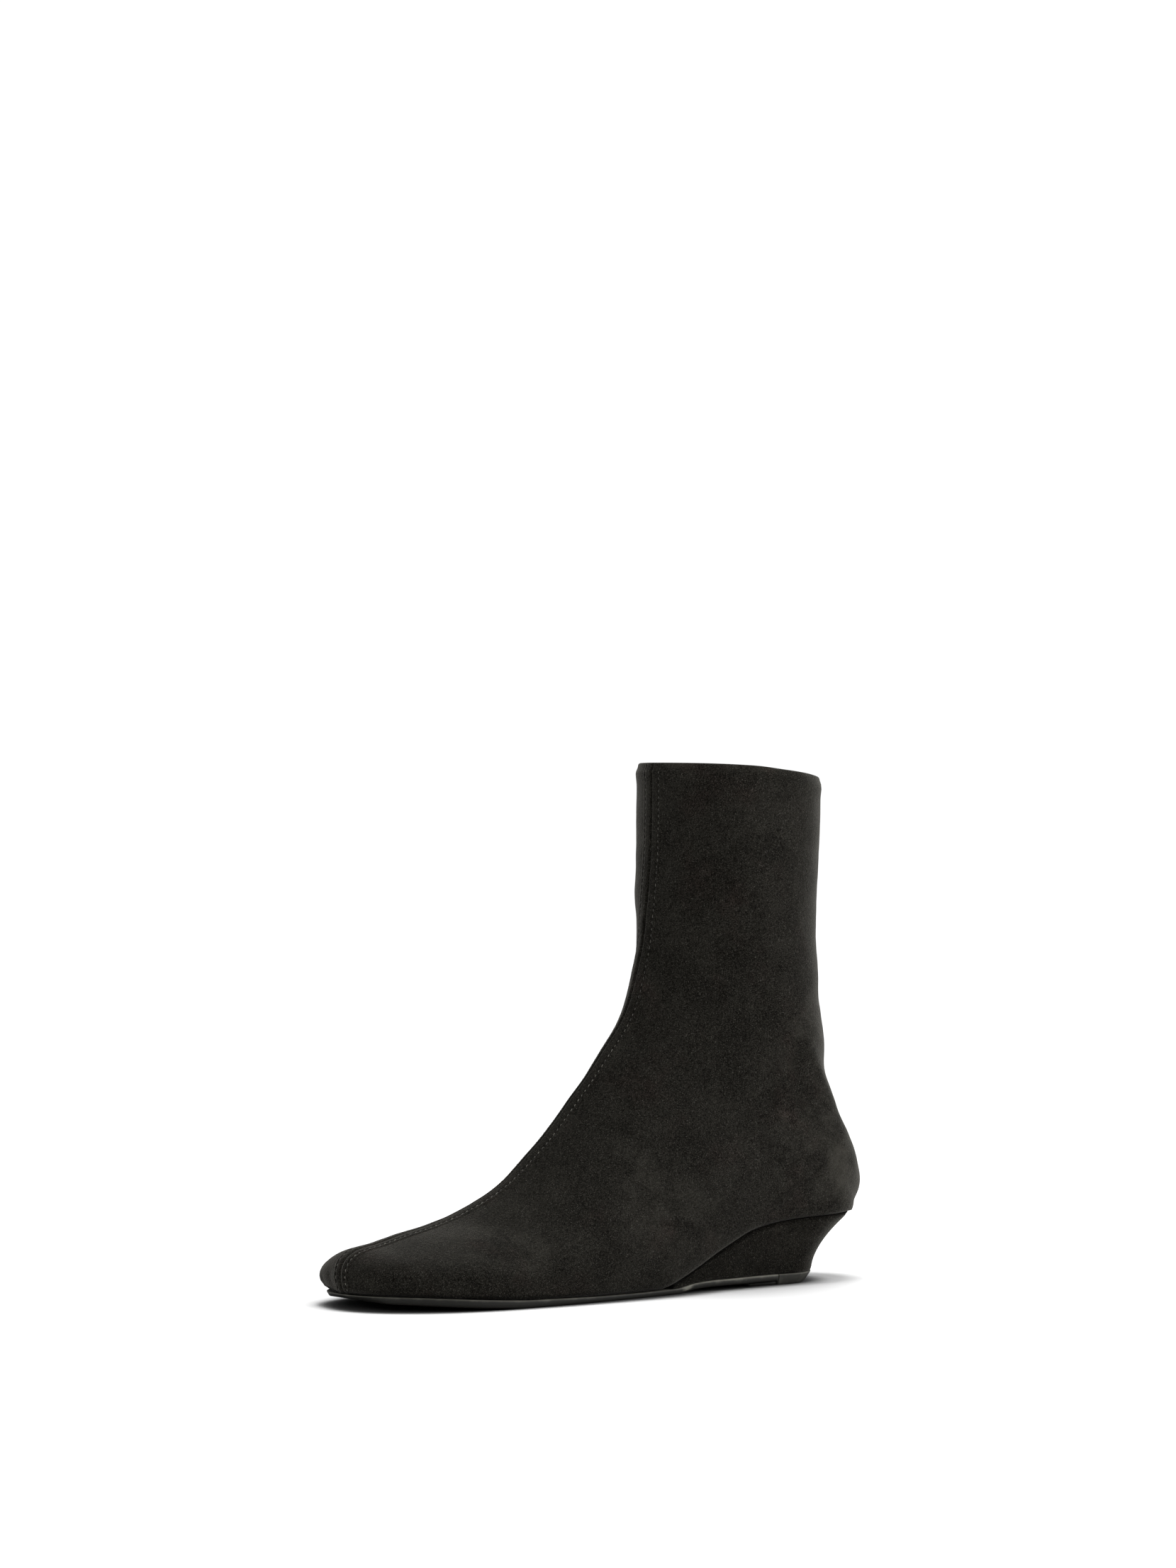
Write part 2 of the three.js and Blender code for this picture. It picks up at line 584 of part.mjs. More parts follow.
const finish = (color, roughness) => new THREE.MeshStandardMaterial({ color, roughness, metalness: 0 });
const SUEDE = finish(0x23211e, 0.95);
const DARK_SUEDE = finish(0x1d1c19, 0.95);
const RUBBER = finish(0x34332f, 0.75);
const LINING = finish(0x2b2a28, 0.85);

const boot = new THREE.Group();
for (const [name, solid, material] of [
  ["upper", upper(), SUEDE],
  ["wedge", wedge(), DARK_SUEDE],
  ["outsole", outsole(), RUBBER],
  ["insole", insole(), LINING],
  ["top_lift", topLift(), RUBBER],
]) {
  const mesh = new THREE.Mesh(geometryOf(solid), material);
  mesh.name = name;
  boot.add(mesh);
}

// Origin under the middle of the bounding box
const box = new THREE.Box3().setFromObject(boot);
const middle = box.getCenter(new THREE.Vector3());
for (const mesh of boot.children) {
  mesh.position.set(-middle.x, -middle.y, -box.min.z);
}

export default boot;
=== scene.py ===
"""Looks of a left ankle boot in black suede on a low covered wedge heel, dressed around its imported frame.

The maker's sizes and tables are in millimetres with x from the back of the heel to the toe, y to the wearer's
left and z up. Meshes are written in metres in the frame's own axes.
"""

import logging
import math
from dataclasses import dataclass
from enum import Enum
from typing import Callable

import bmesh
import bpy
import numpy as np
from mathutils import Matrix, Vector


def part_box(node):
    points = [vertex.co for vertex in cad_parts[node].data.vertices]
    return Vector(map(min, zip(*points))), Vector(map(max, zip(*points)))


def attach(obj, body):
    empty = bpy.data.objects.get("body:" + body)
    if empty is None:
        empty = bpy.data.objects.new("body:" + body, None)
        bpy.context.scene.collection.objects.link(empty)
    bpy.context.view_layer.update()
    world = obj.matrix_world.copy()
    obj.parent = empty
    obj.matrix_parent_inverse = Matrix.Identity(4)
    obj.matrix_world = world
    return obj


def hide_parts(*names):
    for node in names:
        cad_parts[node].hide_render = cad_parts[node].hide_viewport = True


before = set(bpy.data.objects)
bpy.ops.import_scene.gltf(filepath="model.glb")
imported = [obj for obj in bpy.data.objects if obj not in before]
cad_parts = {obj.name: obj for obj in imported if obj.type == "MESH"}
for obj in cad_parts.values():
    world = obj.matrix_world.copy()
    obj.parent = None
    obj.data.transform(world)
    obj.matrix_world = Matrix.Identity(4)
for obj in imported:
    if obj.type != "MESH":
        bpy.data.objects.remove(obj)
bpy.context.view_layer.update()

Array = np.ndarray
Faces = list[tuple[int, ...]]
Layer = tuple[Array, Array, Callable[[Array], Array]]
Point = tuple[float, float, float]
Span = tuple[float, float]
Colour = tuple[float, float, float, float]
Material = bpy.types.Material
Socket = bpy.types.NodeSocket
log = logging.getLogger("boot")
MM = 0.001
SEED = 11
JOIN_WITHIN = 0.005
OUTLINE_STEPS = 400


class Slot(Enum):
    """Material slots of the record."""

    SUEDE = "suede"
    DARK_SUEDE = "dark_suede"
    RUBBER = "rubber"
    LINING = "lining"


class Side(Enum):
    """The two sides of the boot: left is the outer side of this left boot."""

    LEFT = 1
    RIGHT = -1


def smooth_step(value: Array, low: float, high: float) -> Array:
    """Smooth ramp from 0 to 1.

    Args:
        value: Where the ramp is read.
        low: Value at which it starts.
        high: Value at which it ends.

    Returns:
        The ramp at each value.
    """
    share = np.clip((np.asarray(value) - low) / (high - low), 0.0, 1.0)
    return share * share * (3.0 - 2.0 * share)


def fade(value: Array, low: float, high: float) -> Array:
    """Smooth ramp from 1 at low to 0 at high."""
    return 1.0 - smooth_step(value, low, high)


def bell(value: Array, middle: float, width: float) -> Array:
    """Soft bump of height 1.

    Args:
        value: Where the bump is read.
        middle: Place of its top.
        width: Distance at which it has sunk to about a third.

    Returns:
        The bump at each value.
    """
    return np.exp(-(((np.asarray(value) - middle) / width) ** 2))


class Curve:
    """Smooth curve through the rows of a table."""

    def __init__(self, keys: list[float], values: list[float]) -> None:
        """Keeps the table's keys, its values and the slope at each key."""
        self.keys = np.array(keys, dtype=float)
        self.values = np.array(values, dtype=float)
        last = len(keys) - 1
        before = np.maximum(np.arange(last + 1) - 1, 0)
        after = np.minimum(np.arange(last + 1) + 1, last)
        self.slopes = (self.values[after] - self.values[before]) / (self.keys[after] - self.keys[before])

    def __call__(self, at: Array) -> Array:
        """Reads the curve.

        Args:
            at: Keys at which it is read.

        Returns:
            The value at each key.
        """
        at = np.asarray(at, dtype=float)
        i = np.clip(np.searchsorted(self.keys, at, side="left") - 1, 0, len(self.keys) - 2)
        span = self.keys[i + 1] - self.keys[i]
        t = np.clip((at - self.keys[i]) / span, 0.0, 1.0)
        t2, t3 = t * t, t * t * t
        return (
            (2 * t3 - 3 * t2 + 1) * self.values[i]
            + (t3 - 2 * t2 + t) * span * self.slopes[i]
            + (3 * t2 - 2 * t3) * self.values[i + 1]
            + (t3 - t2) * span * self.slopes[i + 1]
        )


def table_curves(rows: tuple[tuple[float, ...], ...]) -> list[Curve]:
    """Curves of a table's columns over its first column.

    Args:
        rows: The table, each row a key and then its values.

    Returns:
        One curve for each column after the first.
    """
    columns = list(zip(*rows))
    return [Curve(list(columns[0]), list(column)) for column in columns[1:]]


@dataclass
class Last:
    """The last that the boot is made over, and the lines of its sole and heel."""

    length: float = 257.5
    upper_height: float = 188.4
    heel_height: float = 28.4
    ball_width: float = 83.0
    heel_width: float = 58.6
    shaft_depth: float = 79.0
    shaft_width: float = 71.5
    toe_depth: float = 16.2
    toe_spring: float = 3.6
    wall: float = 1.9
    sole_thickness: float = 3.2
    waist_thickness: float = 2.6
    gap: float = 0.3
    strip_clearance: float = 1.8
    collar_bow: float = 1.3
    bed_blend: float = 0.9
    side_power: float = 1.75
    toe_share: float = 0.235
    toe_power: float = 2.3
    heel_share: float = 0.115
    heel_power: float = 2.05
    bow_from: float = 1.6
    wedge_taper: float = 0.14

    def __post_init__(self) -> None:
        """Works out the places and curves that follow from the sizes."""
        size = self.length
        self.heel_corner = 0.0186 * size
        self.toe_tip = 0.9934 * size
        self.strip_end = 0.2117 * size
        self.wedge_pivot = 0.31 * size
        self.wedge_reach = 0.447 * size
        self.wedge_undercut = 0.35 * self.heel_width
        self.lift_thickness = self.strip_clearance + self.waist_thickness
        self._sole_tables()
        self._outline_tables()
        self._profile_tables()
        self._section_tables()

    def _sole_tables(self) -> None:
        """Curves of the outsole's underside and thickness and of the foot bed."""
        size, lift, waist, sole = self.length, self.strip_clearance, self.waist_thickness, self.sole_thickness
        front, back, spring, heel = 0.745 * size, 0.435 * size, self.toe_spring, self.heel_height
        (self._underside,) = table_curves((
            (0, lift), (back - 24, lift), (back - 10, 0.72 * lift), (back, 0), (0.5 * (back + front), 0),
            (front, 0), (0.82 * size, 0.25 * spring), (0.88 * size, 0.53 * spring),
            (0.94 * size, 0.79 * spring), (size, spring),
        ))
        (self.sole_body,) = table_curves((
            (0, waist), (back - 24, waist), (0.5 * size, 0.85 * waist), (0.6 * size, 0.9 * waist),
            (0.76 * size, sole), (0.9 * size, sole), (size, 0.8 * sole),
        ))
        (self._bed_rise,) = table_curves((
            (0, heel), (0.1 * size, 0.993 * heel), (0.18 * size, 0.965 * heel), (0.235 * size, 0.905 * heel),
            (0.285 * size, 0.79 * heel), (0.34 * size, 0.58 * heel), (0.39 * size, 0.36 * heel),
            (0.425 * size, 0.21 * heel), (0.458 * size, 0.105 * heel), (0.5 * size, 0), (size, 0),
        ))

    def _outline_tables(self) -> None:
        """Curves of the bed's half widths, left and right of the front seam."""
        size, ball, heel = self.length, self.ball_width, self.heel_width
        self._left_outline, self._right_outline = table_curves((
            (0, 0.5 * heel, 0.5 * heel), (0.14 * size, 0.5 * heel, 0.5 * heel),
            (0.26 * size, 0.345 * ball, 0.32 * ball), (0.38 * size, 0.365 * ball, 0.29 * ball),
            (0.5 * size, 0.425 * ball, 0.345 * ball), (0.63 * size, 0.482 * ball, 0.438 * ball),
            (0.74 * size, 0.506 * ball, 0.485 * ball), (0.86 * size, 0.495 * ball, 0.475 * ball),
            (size, 0.42 * ball, 0.41 * ball),
        ))

    def _profile_tables(self) -> None:
        """Curves of the front line, toe to collar, and of the back line, heel corner to collar."""
        size, high, toe, deep, back = self.length, self.upper_height, self.toe_depth, self.shaft_depth, 0.0866
        rear = back * size
        self._front_x, self._front_rise = table_curves((
            (0, self.toe_tip, 0), (0.3, 0.9985 * size, 0.2 * toe), (0.6, size, 0.42 * toe),
            (0.9, 0.996 * size, 0.65 * toe), (1.2, 0.985 * size, 0.84 * toe), (1.6, 0.963 * size, toe),
            (2.2, 0.92 * size, 1.15 * toe), (3, 0.85 * size, 0.13 * high), (4, 0.77 * size, 0.171 * high),
            (5, 0.695 * size, 0.225 * high), (6, 0.617 * size, 0.316 * high), (7, 0.549 * size, 0.415 * high),
            (8, 0.489 * size, 0.512 * high), (9, 0.44 * size, 0.597 * high),
            (10, rear + 1.066 * deep, 0.7 * high), (11, rear + 1.028 * deep, 0.812 * high),
            (12, rear + 1.008 * deep, 0.93 * high), (13, rear + 0.999 * deep, 1.099 * high),
        ))
        self._back_x, self._back_rise = table_curves((
            (1, self.heel_corner, 0), (1.1, 0, 0.04 * high), (1.2, 0.0045 * size, 0.095 * high),
            (1.3, 0.033 * size, 0.155 * high), (1.42, 0.066 * size, 0.235 * high),
            (1.52, 0.0785 * size, 0.32 * high), (1.6, 0.0815 * size, 0.39 * high),
            (1.68, 0.084 * size, 0.465 * high), (1.78, rear + 0.018 * deep, 0.6 * high),
            (1.89, rear, 0.77 * high), (2, rear - 0.014 * deep, 0.964 * high),
        ))

    def _section_tables(self) -> None:
        """Curves of the sections' widths and fullness, 0 to 1 along the bed and 1 to 2 up the back."""
        ball, heel, shaft = self.ball_width, self.heel_width, self.shaft_width
        self._front_step, self._left_wide, self._right_wide = table_curves((
            (0, 0, 0, 0), (0.05, 0.33, 0.12 * ball, 0.112 * ball), (0.1, 0.72, 0.225 * ball, 0.208 * ball),
            (0.16, 1.25, 0.327 * ball, 0.302 * ball), (0.23, 2.2, 0.418 * ball, 0.397 * ball),
            (0.31, 3.3, 0.49 * ball, 0.47 * ball), (0.4, 4.6, 0.513 * ball, 0.498 * ball),
            (0.5, 6.2, 0.485 * ball, 0.455 * ball), (0.6, 7.7, 0.44 * ball, 0.41 * ball),
            (0.7, 8.9, 0.575 * heel, 0.56 * heel), (0.82, 9.6, 0.567 * heel, 0.555 * heel),
            (1, 10.3, 0.572 * heel, 0.565 * heel), (1.2, 10.7, 0.578 * heel, 0.575 * heel),
            (1.42, 11.25, 0.487 * shaft, 0.487 * shaft), (1.66, 11.9, 0.49 * shaft, 0.49 * shaft),
            (2, 13, 0.5 * shaft, 0.5 * shaft),
        ))
        self._peak, self._crown, self._inner, self._flank, self._foot = table_curves((
            (0, 0.4, 2, 2, 2, 1.8), (0.1, 0.4, 2, 1.65, 2, 1.8), (0.16, 0.38, 1.85, 1.45, 2, 1.8),
            (0.23, 0.36, 1.6, 1.24, 2, 1.8), (0.31, 0.32, 1.42, 1.12, 2, 1.8), (0.4, 0.27, 1.38, 1.1, 2, 1.8),
            (0.5, 0.24, 1.45, 1.18, 2, 1.8), (0.6, 0.28, 1.58, 1.32, 2, 1.8),
            (0.7, 0.36, 1.72, 1.47, 2.1, 1.8), (0.82, 0.43, 1.85, 1.65, 2.2, 1.8),
            (0.92, 0.455, 1.91, 1.73, 2.25, 1.85), (1, 0.47, 1.95, 1.8, 2.25, 2.5),
            (1.1, 0.475, 1.98, 1.86, 2.22, 2.15), (1.2, 0.48, 2, 1.92, 2.2, 2.1),
            (1.42, 0.49, 2, 2, 2.05, 2.05), (1.66, 0.5, 2, 2, 2, 2), (2, 0.5, 2, 2, 2, 2),
        ))

    def underside(self, x: Array) -> Array:
        """Height of the outsole's underside at x."""
        return np.maximum(0.0, self._underside(x))

    def sole_top(self, x: Array) -> Array:
        """Height of the outsole's upper face at x."""
        return self.underside(x) + self.sole_body(x)

    def bed(self, x: Array) -> Array:
        """Height of the foot bed, on which the upper stands, at x.

        Args:
            x: Places along the boot.

        Returns:
            The height at each place.
        """
        low = self.sole_top(x) + self.gap
        rise = self._bed_rise(x)
        blend = self.bed_blend
        soft = low + np.maximum(0.0, rise - low + blend) ** 2 / (4 * blend)
        return np.where(rise > low + blend, rise, soft)

    def half_width(self, x: Array, side: Side) -> Array:
        """Half width of the bed at x on one side of the front seam.

        Args:
            x: Places along the boot.
            side: Side of the boot.

        Returns:
            The half width at each place.
        """
        table = self._left_outline(x) if side is Side.LEFT else self._right_outline(x)
        size = self.length
        toe = np.clip(1 - (self.toe_tip - x) / (self.toe_share * size), 0, 1)
        heel = np.clip(1 - (x - self.heel_corner) / (self.heel_share * size), 0, 1)
        toe_round = (1 - toe**self.toe_power) ** (1 / self.toe_power)
        return table * toe_round * (1 - heel**self.heel_power) ** (1 / self.heel_power)

    def bed_x(self, under: Array) -> Array:
        """Place on the bed of a section, from toe 0 to heel corner 1."""
        return self.heel_corner + (self.toe_tip - self.heel_corner) * 0.5 * (1 + np.cos(np.pi * under))

    def under_at(self, x: float) -> float:
        """Section whose place on the bed is x."""
        share = (x - self.heel_corner) / (self.toe_tip - self.heel_corner)
        return math.acos(2 * share - 1) / math.pi

    def behind_pivot(self, x: Array) -> Array:
        """Share of the way from the wedge's front pivot back to the heel corner at x."""
        return np.clip((self.wedge_pivot - x) / (self.wedge_pivot - self.heel_corner), 0, 1)

    def narrowed(self, x: Array, share: float = 1.0) -> Array:
        """Factor by which the wedge's plan is narrower at x, at a share of its full undercut."""
        return 1 - share * self.wedge_taper * np.minimum(1, 2 * self.behind_pivot(x))

    def _wide_and_crown(self, under: Array, side: Side) -> tuple[Array, Array]:
        """Widest half width and crown power of each section on one side.

        Args:
            under: Sections as a column.
            side: Side of the boot.

        Returns:
            The half widths and the powers, a row for each section.
        """
        wide = self._left_wide(under) if side is Side.LEFT else self._right_wide(under)
        crown = self._crown(under) if side is Side.LEFT else self._inner(under)
        foot = np.where(under < 1, self.half_width(self.bed_x(under), side), 0.0)
        return np.maximum(wide, foot), crown

    def points(self, under: Array, side: Side, turn: Array) -> Array:
        """Points of the last's surface.

        Args:
            under: Sections as a column.
            side: Side of the boot.
            turn: Turn around each section, a row for each section.

        Returns:
            Points with one row for each section.
        """
        step = self._front_step(under)
        front_x = self._front_x(step)
        front_z = self.bed(front_x) + self._front_rise(step)
        on_bed = under < 1
        base_x = np.where(on_bed, self.bed_x(under), self._back_x(under))
        heel_z = self.bed(np.array(self.heel_corner)) + self._back_rise(under)
        base_z = np.where(on_bed, self.bed(base_x), heel_z)
        foot = np.where(on_bed, self.half_width(base_x, side), 0.0)
        wide, crown = self._wide_and_crown(under, side)
        peak = self._peak(under)
        above = turn < 0.5
        angle = np.where(above, turn, turn - 0.5) * np.pi
        sine = np.sin(angle) ** (2 / np.where(above, crown, self._flank(under)))
        end_power = np.where(above, np.maximum(crown, self.side_power), self._foot(under))
        cosine = np.maximum(np.cos(angle), 0.0) ** (2 / end_power)
        along = np.where(above, peak + (1 - peak) * cosine, peak * (1 - sine))
        bow = self.collar_bow * smooth_step(under, self.bow_from, 2.0)
        x = base_x + (front_x - base_x) * along
        y = side.value * np.where(above, wide * sine, foot + (wide - foot) * cosine)
        z = base_z + (front_z - base_z) * along + bow * 4 * along * (1 - along)
        return np.stack([x, y, z], axis=-1)

    def outline(self, inset: float, count: int, start: float = 0.0, end: float = 1.0) -> tuple[Array, Array]:
        """Plan outline of the bed from toe to heel, moved in by an inset.

        Args:
            inset: Distance that the outline is moved in.
            count: Number of steps.
            start: Section at which it starts.
            end: Section at which it ends.

        Returns:
            The left and the right edge, as rows of x and y.
        """
        under = np.linspace(start, end, count + 1)
        small = 0.002
        edges = []
        for side in Side:
            def edge(at: Array) -> Array:
                """Edge of the bed at each section."""
                x = self.bed_x(at)
                return np.stack([x, side.value * self.half_width(x, side)], axis=-1)

            ahead, behind = edge(np.minimum(under + small, 1)), edge(np.maximum(under - small, 0))
            inward = np.stack([behind[:, 1] - ahead[:, 1], ahead[:, 0] - behind[:, 0]], axis=-1) * side.value
            inward /= np.maximum(np.linalg.norm(inward, axis=1, keepdims=True), 1e-9)
            inward[under == 0] = (-1, 0)
            inward[under == 1] = (1, 0)
            edges.append(edge(under) + inward * inset)
        return edges[0], edges[1]


class Placement:
    """Turns the maker's millimetres into metres in the frame's axes."""

    def __init__(self, last: Last) -> None:
        """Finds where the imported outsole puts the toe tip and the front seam's plane."""
        _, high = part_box("outsole")
        left, _ = last.outline(0.0, OUTLINE_STEPS)
        self.shift = np.array([high[0] / MM - last.toe_tip, high[1] / MM - left[:, 1].max(), 0.0])

    def metres(self, points: Array) -> Array:
        """Points in metres in the frame's axes."""
        return (points + self.shift) * MM


def mesh_piece(name: str, points: Array, faces: Faces, material: Material) -> bpy.types.Object:
    """Makes a smooth-shaded mesh object that sits at the origin.

    Args:
        name: Name of the piece.
        points: Its points in metres.
        faces: Its faces as rows of point numbers.
        material: Its finish.

    Returns:
        The object, linked to the scene.
    """
    mesh = bpy.data.meshes.new(name)
    mesh.from_pydata(np.asarray(points).tolist(), [], faces)
    mesh.validate()
    mesh.shade_smooth()
    mesh.materials.append(material)
    piece = bpy.data.objects.new(name, mesh)
    bpy.context.scene.collection.objects.link(piece)
    return piece


def register(piece: bpy.types.Object, slot: Slot, replaced: tuple[str, ...] = ()) -> None:
    """Tells the frame what a piece rides on and stands for.

    Args:
        piece: The piece.
        slot: Its material slot in the record; not used.
        replaced: Nodes that it stands for.
    """
    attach(piece, "root")
    if replaced:
        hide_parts(*replaced)
    log.info("%s: %d faces", piece.name, len(piece.data.polygons))


def grid_faces(rows: int, columns: int) -> Faces:
    """Quads over a grid of points.

    Args:
        rows: Number of rows.
        columns: Number of points in a row.

    Returns:
        The faces.
    """
    starts = [row * columns + i for row in range(rows - 1) for i in range(columns - 1)]
    return [(a, a + 1, a + 1 + columns, a + columns) for a in starts]


def add_values(piece: bpy.types.Object, name: str, values: Array) -> None:
    """Stores a number for each point of a piece under a name that its finish reads."""
    attribute = piece.data.attributes.new(name, "FLOAT", "POINT")
    attribute.data.foreach_set("value", np.asarray(values, dtype=np.float32))


def clean_piece(piece: bpy.types.Object) -> None:
    """Joins points that lie together and turns the faces out.

    Args:
        piece: The piece.
    """
    work = bmesh.new()
    work.from_mesh(piece.data)
    bmesh.ops.remove_doubles(work, verts=work.verts, dist=JOIN_WITHIN * MM)
    bmesh.ops.recalc_face_normals(work, faces=work.faces)
    work.to_mesh(piece.data)
    work.free()
    piece.data.shade_smooth()


# Finishes


class Tree:
    """Shorthand for the nodes of one material or node group."""

    def __init__(self, nodes_owner: bpy.types.NodeTree) -> None:
        """Keeps the tree that the nodes go into."""
        self.tree = nodes_owner

    def add(self, kind: str, inputs: dict[str, object] | None = None, **settings: object) -> bpy.types.Node:
        """Adds a node.

        Args:
            kind: Type of the node.
            inputs: Values or sockets for its inputs, by name or number.
            **settings: Properties of the node.

        Returns:
            The node.
        """
        node = self.tree.nodes.new(kind)
        for key, value in settings.items():
            setattr(node, key, value)
        for key, value in (inputs or {}).items():
            socket = node.inputs[key]
            if isinstance(value, Socket):
                self.tree.links.new(value, socket)
            else:
                socket.default_value = value
        return node

    def math(self, operation: str, *values: object) -> Socket:
        """Adds a Math node and returns its output."""
        return self.add("ShaderNodeMath", dict(enumerate(values)), operation=operation).outputs[0]

    def ramp(self, value: object, low: float, high: float) -> Socket:
        """Adds a smooth ramp of a value from 0 at low to 1 at high and returns its output."""
        inputs = {"Value": value, "From Min": low, "From Max": high}
        return self.add("ShaderNodeMapRange", inputs, interpolation_type="SMOOTHSTEP").outputs["Result"]

    def noise(self, where: object, scale: object, detail: float, roughness: float = 0.5) -> Socket:
        """Adds a Noise Texture and returns its value."""
        inputs = {"Vector": where, "Scale": scale, "Detail": detail, "Roughness": roughness}
        return self.add("ShaderNodeTexNoise", inputs).outputs["Fac"]

    def place(self) -> Socket:
        """Adds the piece's own coordinates, in metres, and returns them."""
        return self.add("ShaderNodeTexCoord").outputs["Object"]

    def stored(self, name: str) -> Socket:
        """Adds the reading of a number that the piece's mesh holds and returns it."""
        return self.add("ShaderNodeAttribute", attribute_name=name).outputs["Fac"]

    def centred(self, value: object, low: float, high: float, share: object) -> Socket:
        """Adds a ramp from minus half to plus half of a share and returns its output."""
        return self.math("MULTIPLY", self.math("SUBTRACT", self.ramp(value, low, high), 0.5), share)

    def bump(self, height: Socket, strength: float, depth: float) -> Socket:
        """Adds a bump of a depth in metres and returns its normal."""
        inputs = {"Height": height, "Strength": strength, "Distance": depth}
        return self.add("ShaderNodeBump", inputs).outputs["Normal"]

    def mix(self, factor: object, first: object, second: object) -> Socket:
        """Adds a colour mix.

        Args:
            factor: Share of the second colour.
            first: First colour or socket.
            second: Second colour or socket.

        Returns:
            The mixed colour.
        """
        node = self.add("ShaderNodeMix", {"Factor": factor}, data_type="RGBA")
        for name, value in (("A", first), ("B", second)):
            socket = next(s for s in node.inputs if s.name == name and s.type == "RGBA")
            if isinstance(value, Socket):
                self.tree.links.new(value, socket)
            else:
                socket.default_value = value
        return next(s for s in node.outputs if s.type == "RGBA")


def new_group(
    name: str, inputs: dict[str, float], outputs: tuple[str, ...]
) -> tuple[Tree, bpy.types.Node, bpy.types.Node]:
    """Starts a node group with number inputs and outputs.

    Args:
        name: Name of the group.
        inputs: Its inputs with their usual values.
        outputs: Names of its outputs.

    Returns:
        The group's tree, its input node and its output node.
    """
    tree = bpy.data.node_groups.new(name, "ShaderNodeTree")
    for key, value in inputs.items():
        socket = tree.interface.new_socket(name=key, in_out="INPUT", socket_type="NodeSocketFloat")
        socket.default_value = value
    for key in outputs:
        tree.interface.new_socket(name=key, in_out="OUTPUT", socket_type="NodeSocketFloat")
    return Tree(tree), tree.nodes.new("NodeGroupInput"), tree.nodes.new("NodeGroupOutput")


@dataclass
class SharedEffects:
    """Node groups that several finishes use, each built once."""

    large_range: Span = (0.34, 0.68)
    small_finer: float = 3.7
    small_range: Span = (0.3, 0.7)
    small_share: float = 0.55
    streak_scale: float = 90.0
    streak_range: Span = (0.3, 0.7)
    streak_turn: Point = (0.3, 0.7, 0.5)
    streak_stretch: Point = (1.0, 1.0, 3.2)
    warm_scale: float = 38.0
    warm_range: Span = (0.5, 0.72)
    warm_shift: Point = (0.3, 0.1, 0.2)
    coarse_finer: float = 0.38
    coarse_share: float = 0.3
    tip_range: Span = (0.61, 0.74)
    scuff_range: Span = (0.42, 0.72)
    grain_scale: float = 2200.0

    def __post_init__(self) -> None:
        """Builds the groups."""
        self.clouds = self._clouds()
        self.fibres = self._fibres()
        self.scuffs = self._scuffs()

    @staticmethod
    def _grain(tree: Tree, size: Socket, finer: float, detail: float, roughness: float) -> Socket:
        """Noise whose grain is a size in millimetres, made finer by a factor."""
        return tree.noise(tree.place(), tree.math("DIVIDE", finer / MM, size), detail, roughness)

    def _clouds(self) -> bpy.types.NodeTree:
        """Soft light and dark patches where the nap lies in different directions.

        Returns:
            The group.
        """
        inputs = {"Size": 22.0, "Contrast": 1.0, "Streaks": 0.5}
        tree, given, out = new_group("nap_clouds", inputs, ("Light", "Warmth"))
        size = given.outputs["Size"]
        large = tree.centred(self._grain(tree, size, 1.0, 3.0, 0.5), *self.large_range, 1.0)
        small = self._grain(tree, size, self.small_finer, 4.0, 0.6)
        small = tree.centred(small, *self.small_range, self.small_share)
        turn = {"Vector": tree.place(), "Rotation": self.streak_turn, "Scale": self.streak_stretch}
        streaks = tree.add("ShaderNodeMapping", turn).outputs[0]
        streaks = tree.noise(streaks, self.streak_scale, 3.0, 0.55)
        streaks = tree.centred(streaks, *self.streak_range, given.outputs["Streaks"])
        total = tree.math("ADD", tree.math("ADD", large, small), streaks)
        light = tree.math("MULTIPLY", total, given.outputs["Contrast"])
        tree.tree.links.new(light, out.inputs["Light"])
        shift = {"Vector": tree.place(), "Location": self.warm_shift}
        warm = tree.noise(tree.add("ShaderNodeMapping", shift).outputs[0], self.warm_scale, 4.0, 0.65)
        tree.tree.links.new(tree.ramp(warm, *self.warm_range), out.inputs["Warmth"])
        return tree.tree

    def _fibres(self) -> bpy.types.NodeTree:
        """Fine speckle of the fibres, with a few bright tips, and the height of the nap.

        Returns:
            The group.
        """
        inputs = {"Size": 0.42, "Tips": 1.0}
        tree, given, out = new_group("nap_fibres", inputs, ("Speckle", "Tip", "Height"))
        fine = self._grain(tree, given.outputs["Size"], 1.0, 2.0, 0.7)
        coarse = self._grain(tree, given.outputs["Size"], self.coarse_finer, 2.0, 0.6)
        tufts = tree.math("MULTIPLY", tree.math("SUBTRACT", coarse, 0.5), self.coarse_share)
        speckle = tree.math("ADD", tree.math("SUBTRACT", fine, 0.5), tufts)
        tips = tree.math("MULTIPLY", tree.ramp(fine, *self.tip_range), given.outputs["Tips"])
        tree.tree.links.new(speckle, out.inputs["Speckle"])
        tree.tree.links.new(tips, out.inputs["Tip"])
        tree.tree.links.new(tree.math("ADD", fine, coarse), out.inputs["Height"])
        return tree.tree

    def _scuffs(self) -> bpy.types.NodeTree:
        """Rubbed places of rubber and edges, and the fine grain of their surface.

        Returns:
            The group.
        """
        tree, given, out = new_group("scuffs", {"Size": 6.0, "Amount": 0.5}, ("Mask", "Grain"))
        broad = self._grain(tree, given.outputs["Size"], 1.0, 5.0, 0.65)
        mask = tree.math("MULTIPLY", tree.ramp(broad, *self.scuff_range), given.outputs["Amount"])
        tree.tree.links.new(mask, out.inputs["Mask"])
        tree.tree.links.new(tree.noise(tree.place(), self.grain_scale, 2.0, 0.6), out.inputs["Grain"])
        return tree.tree


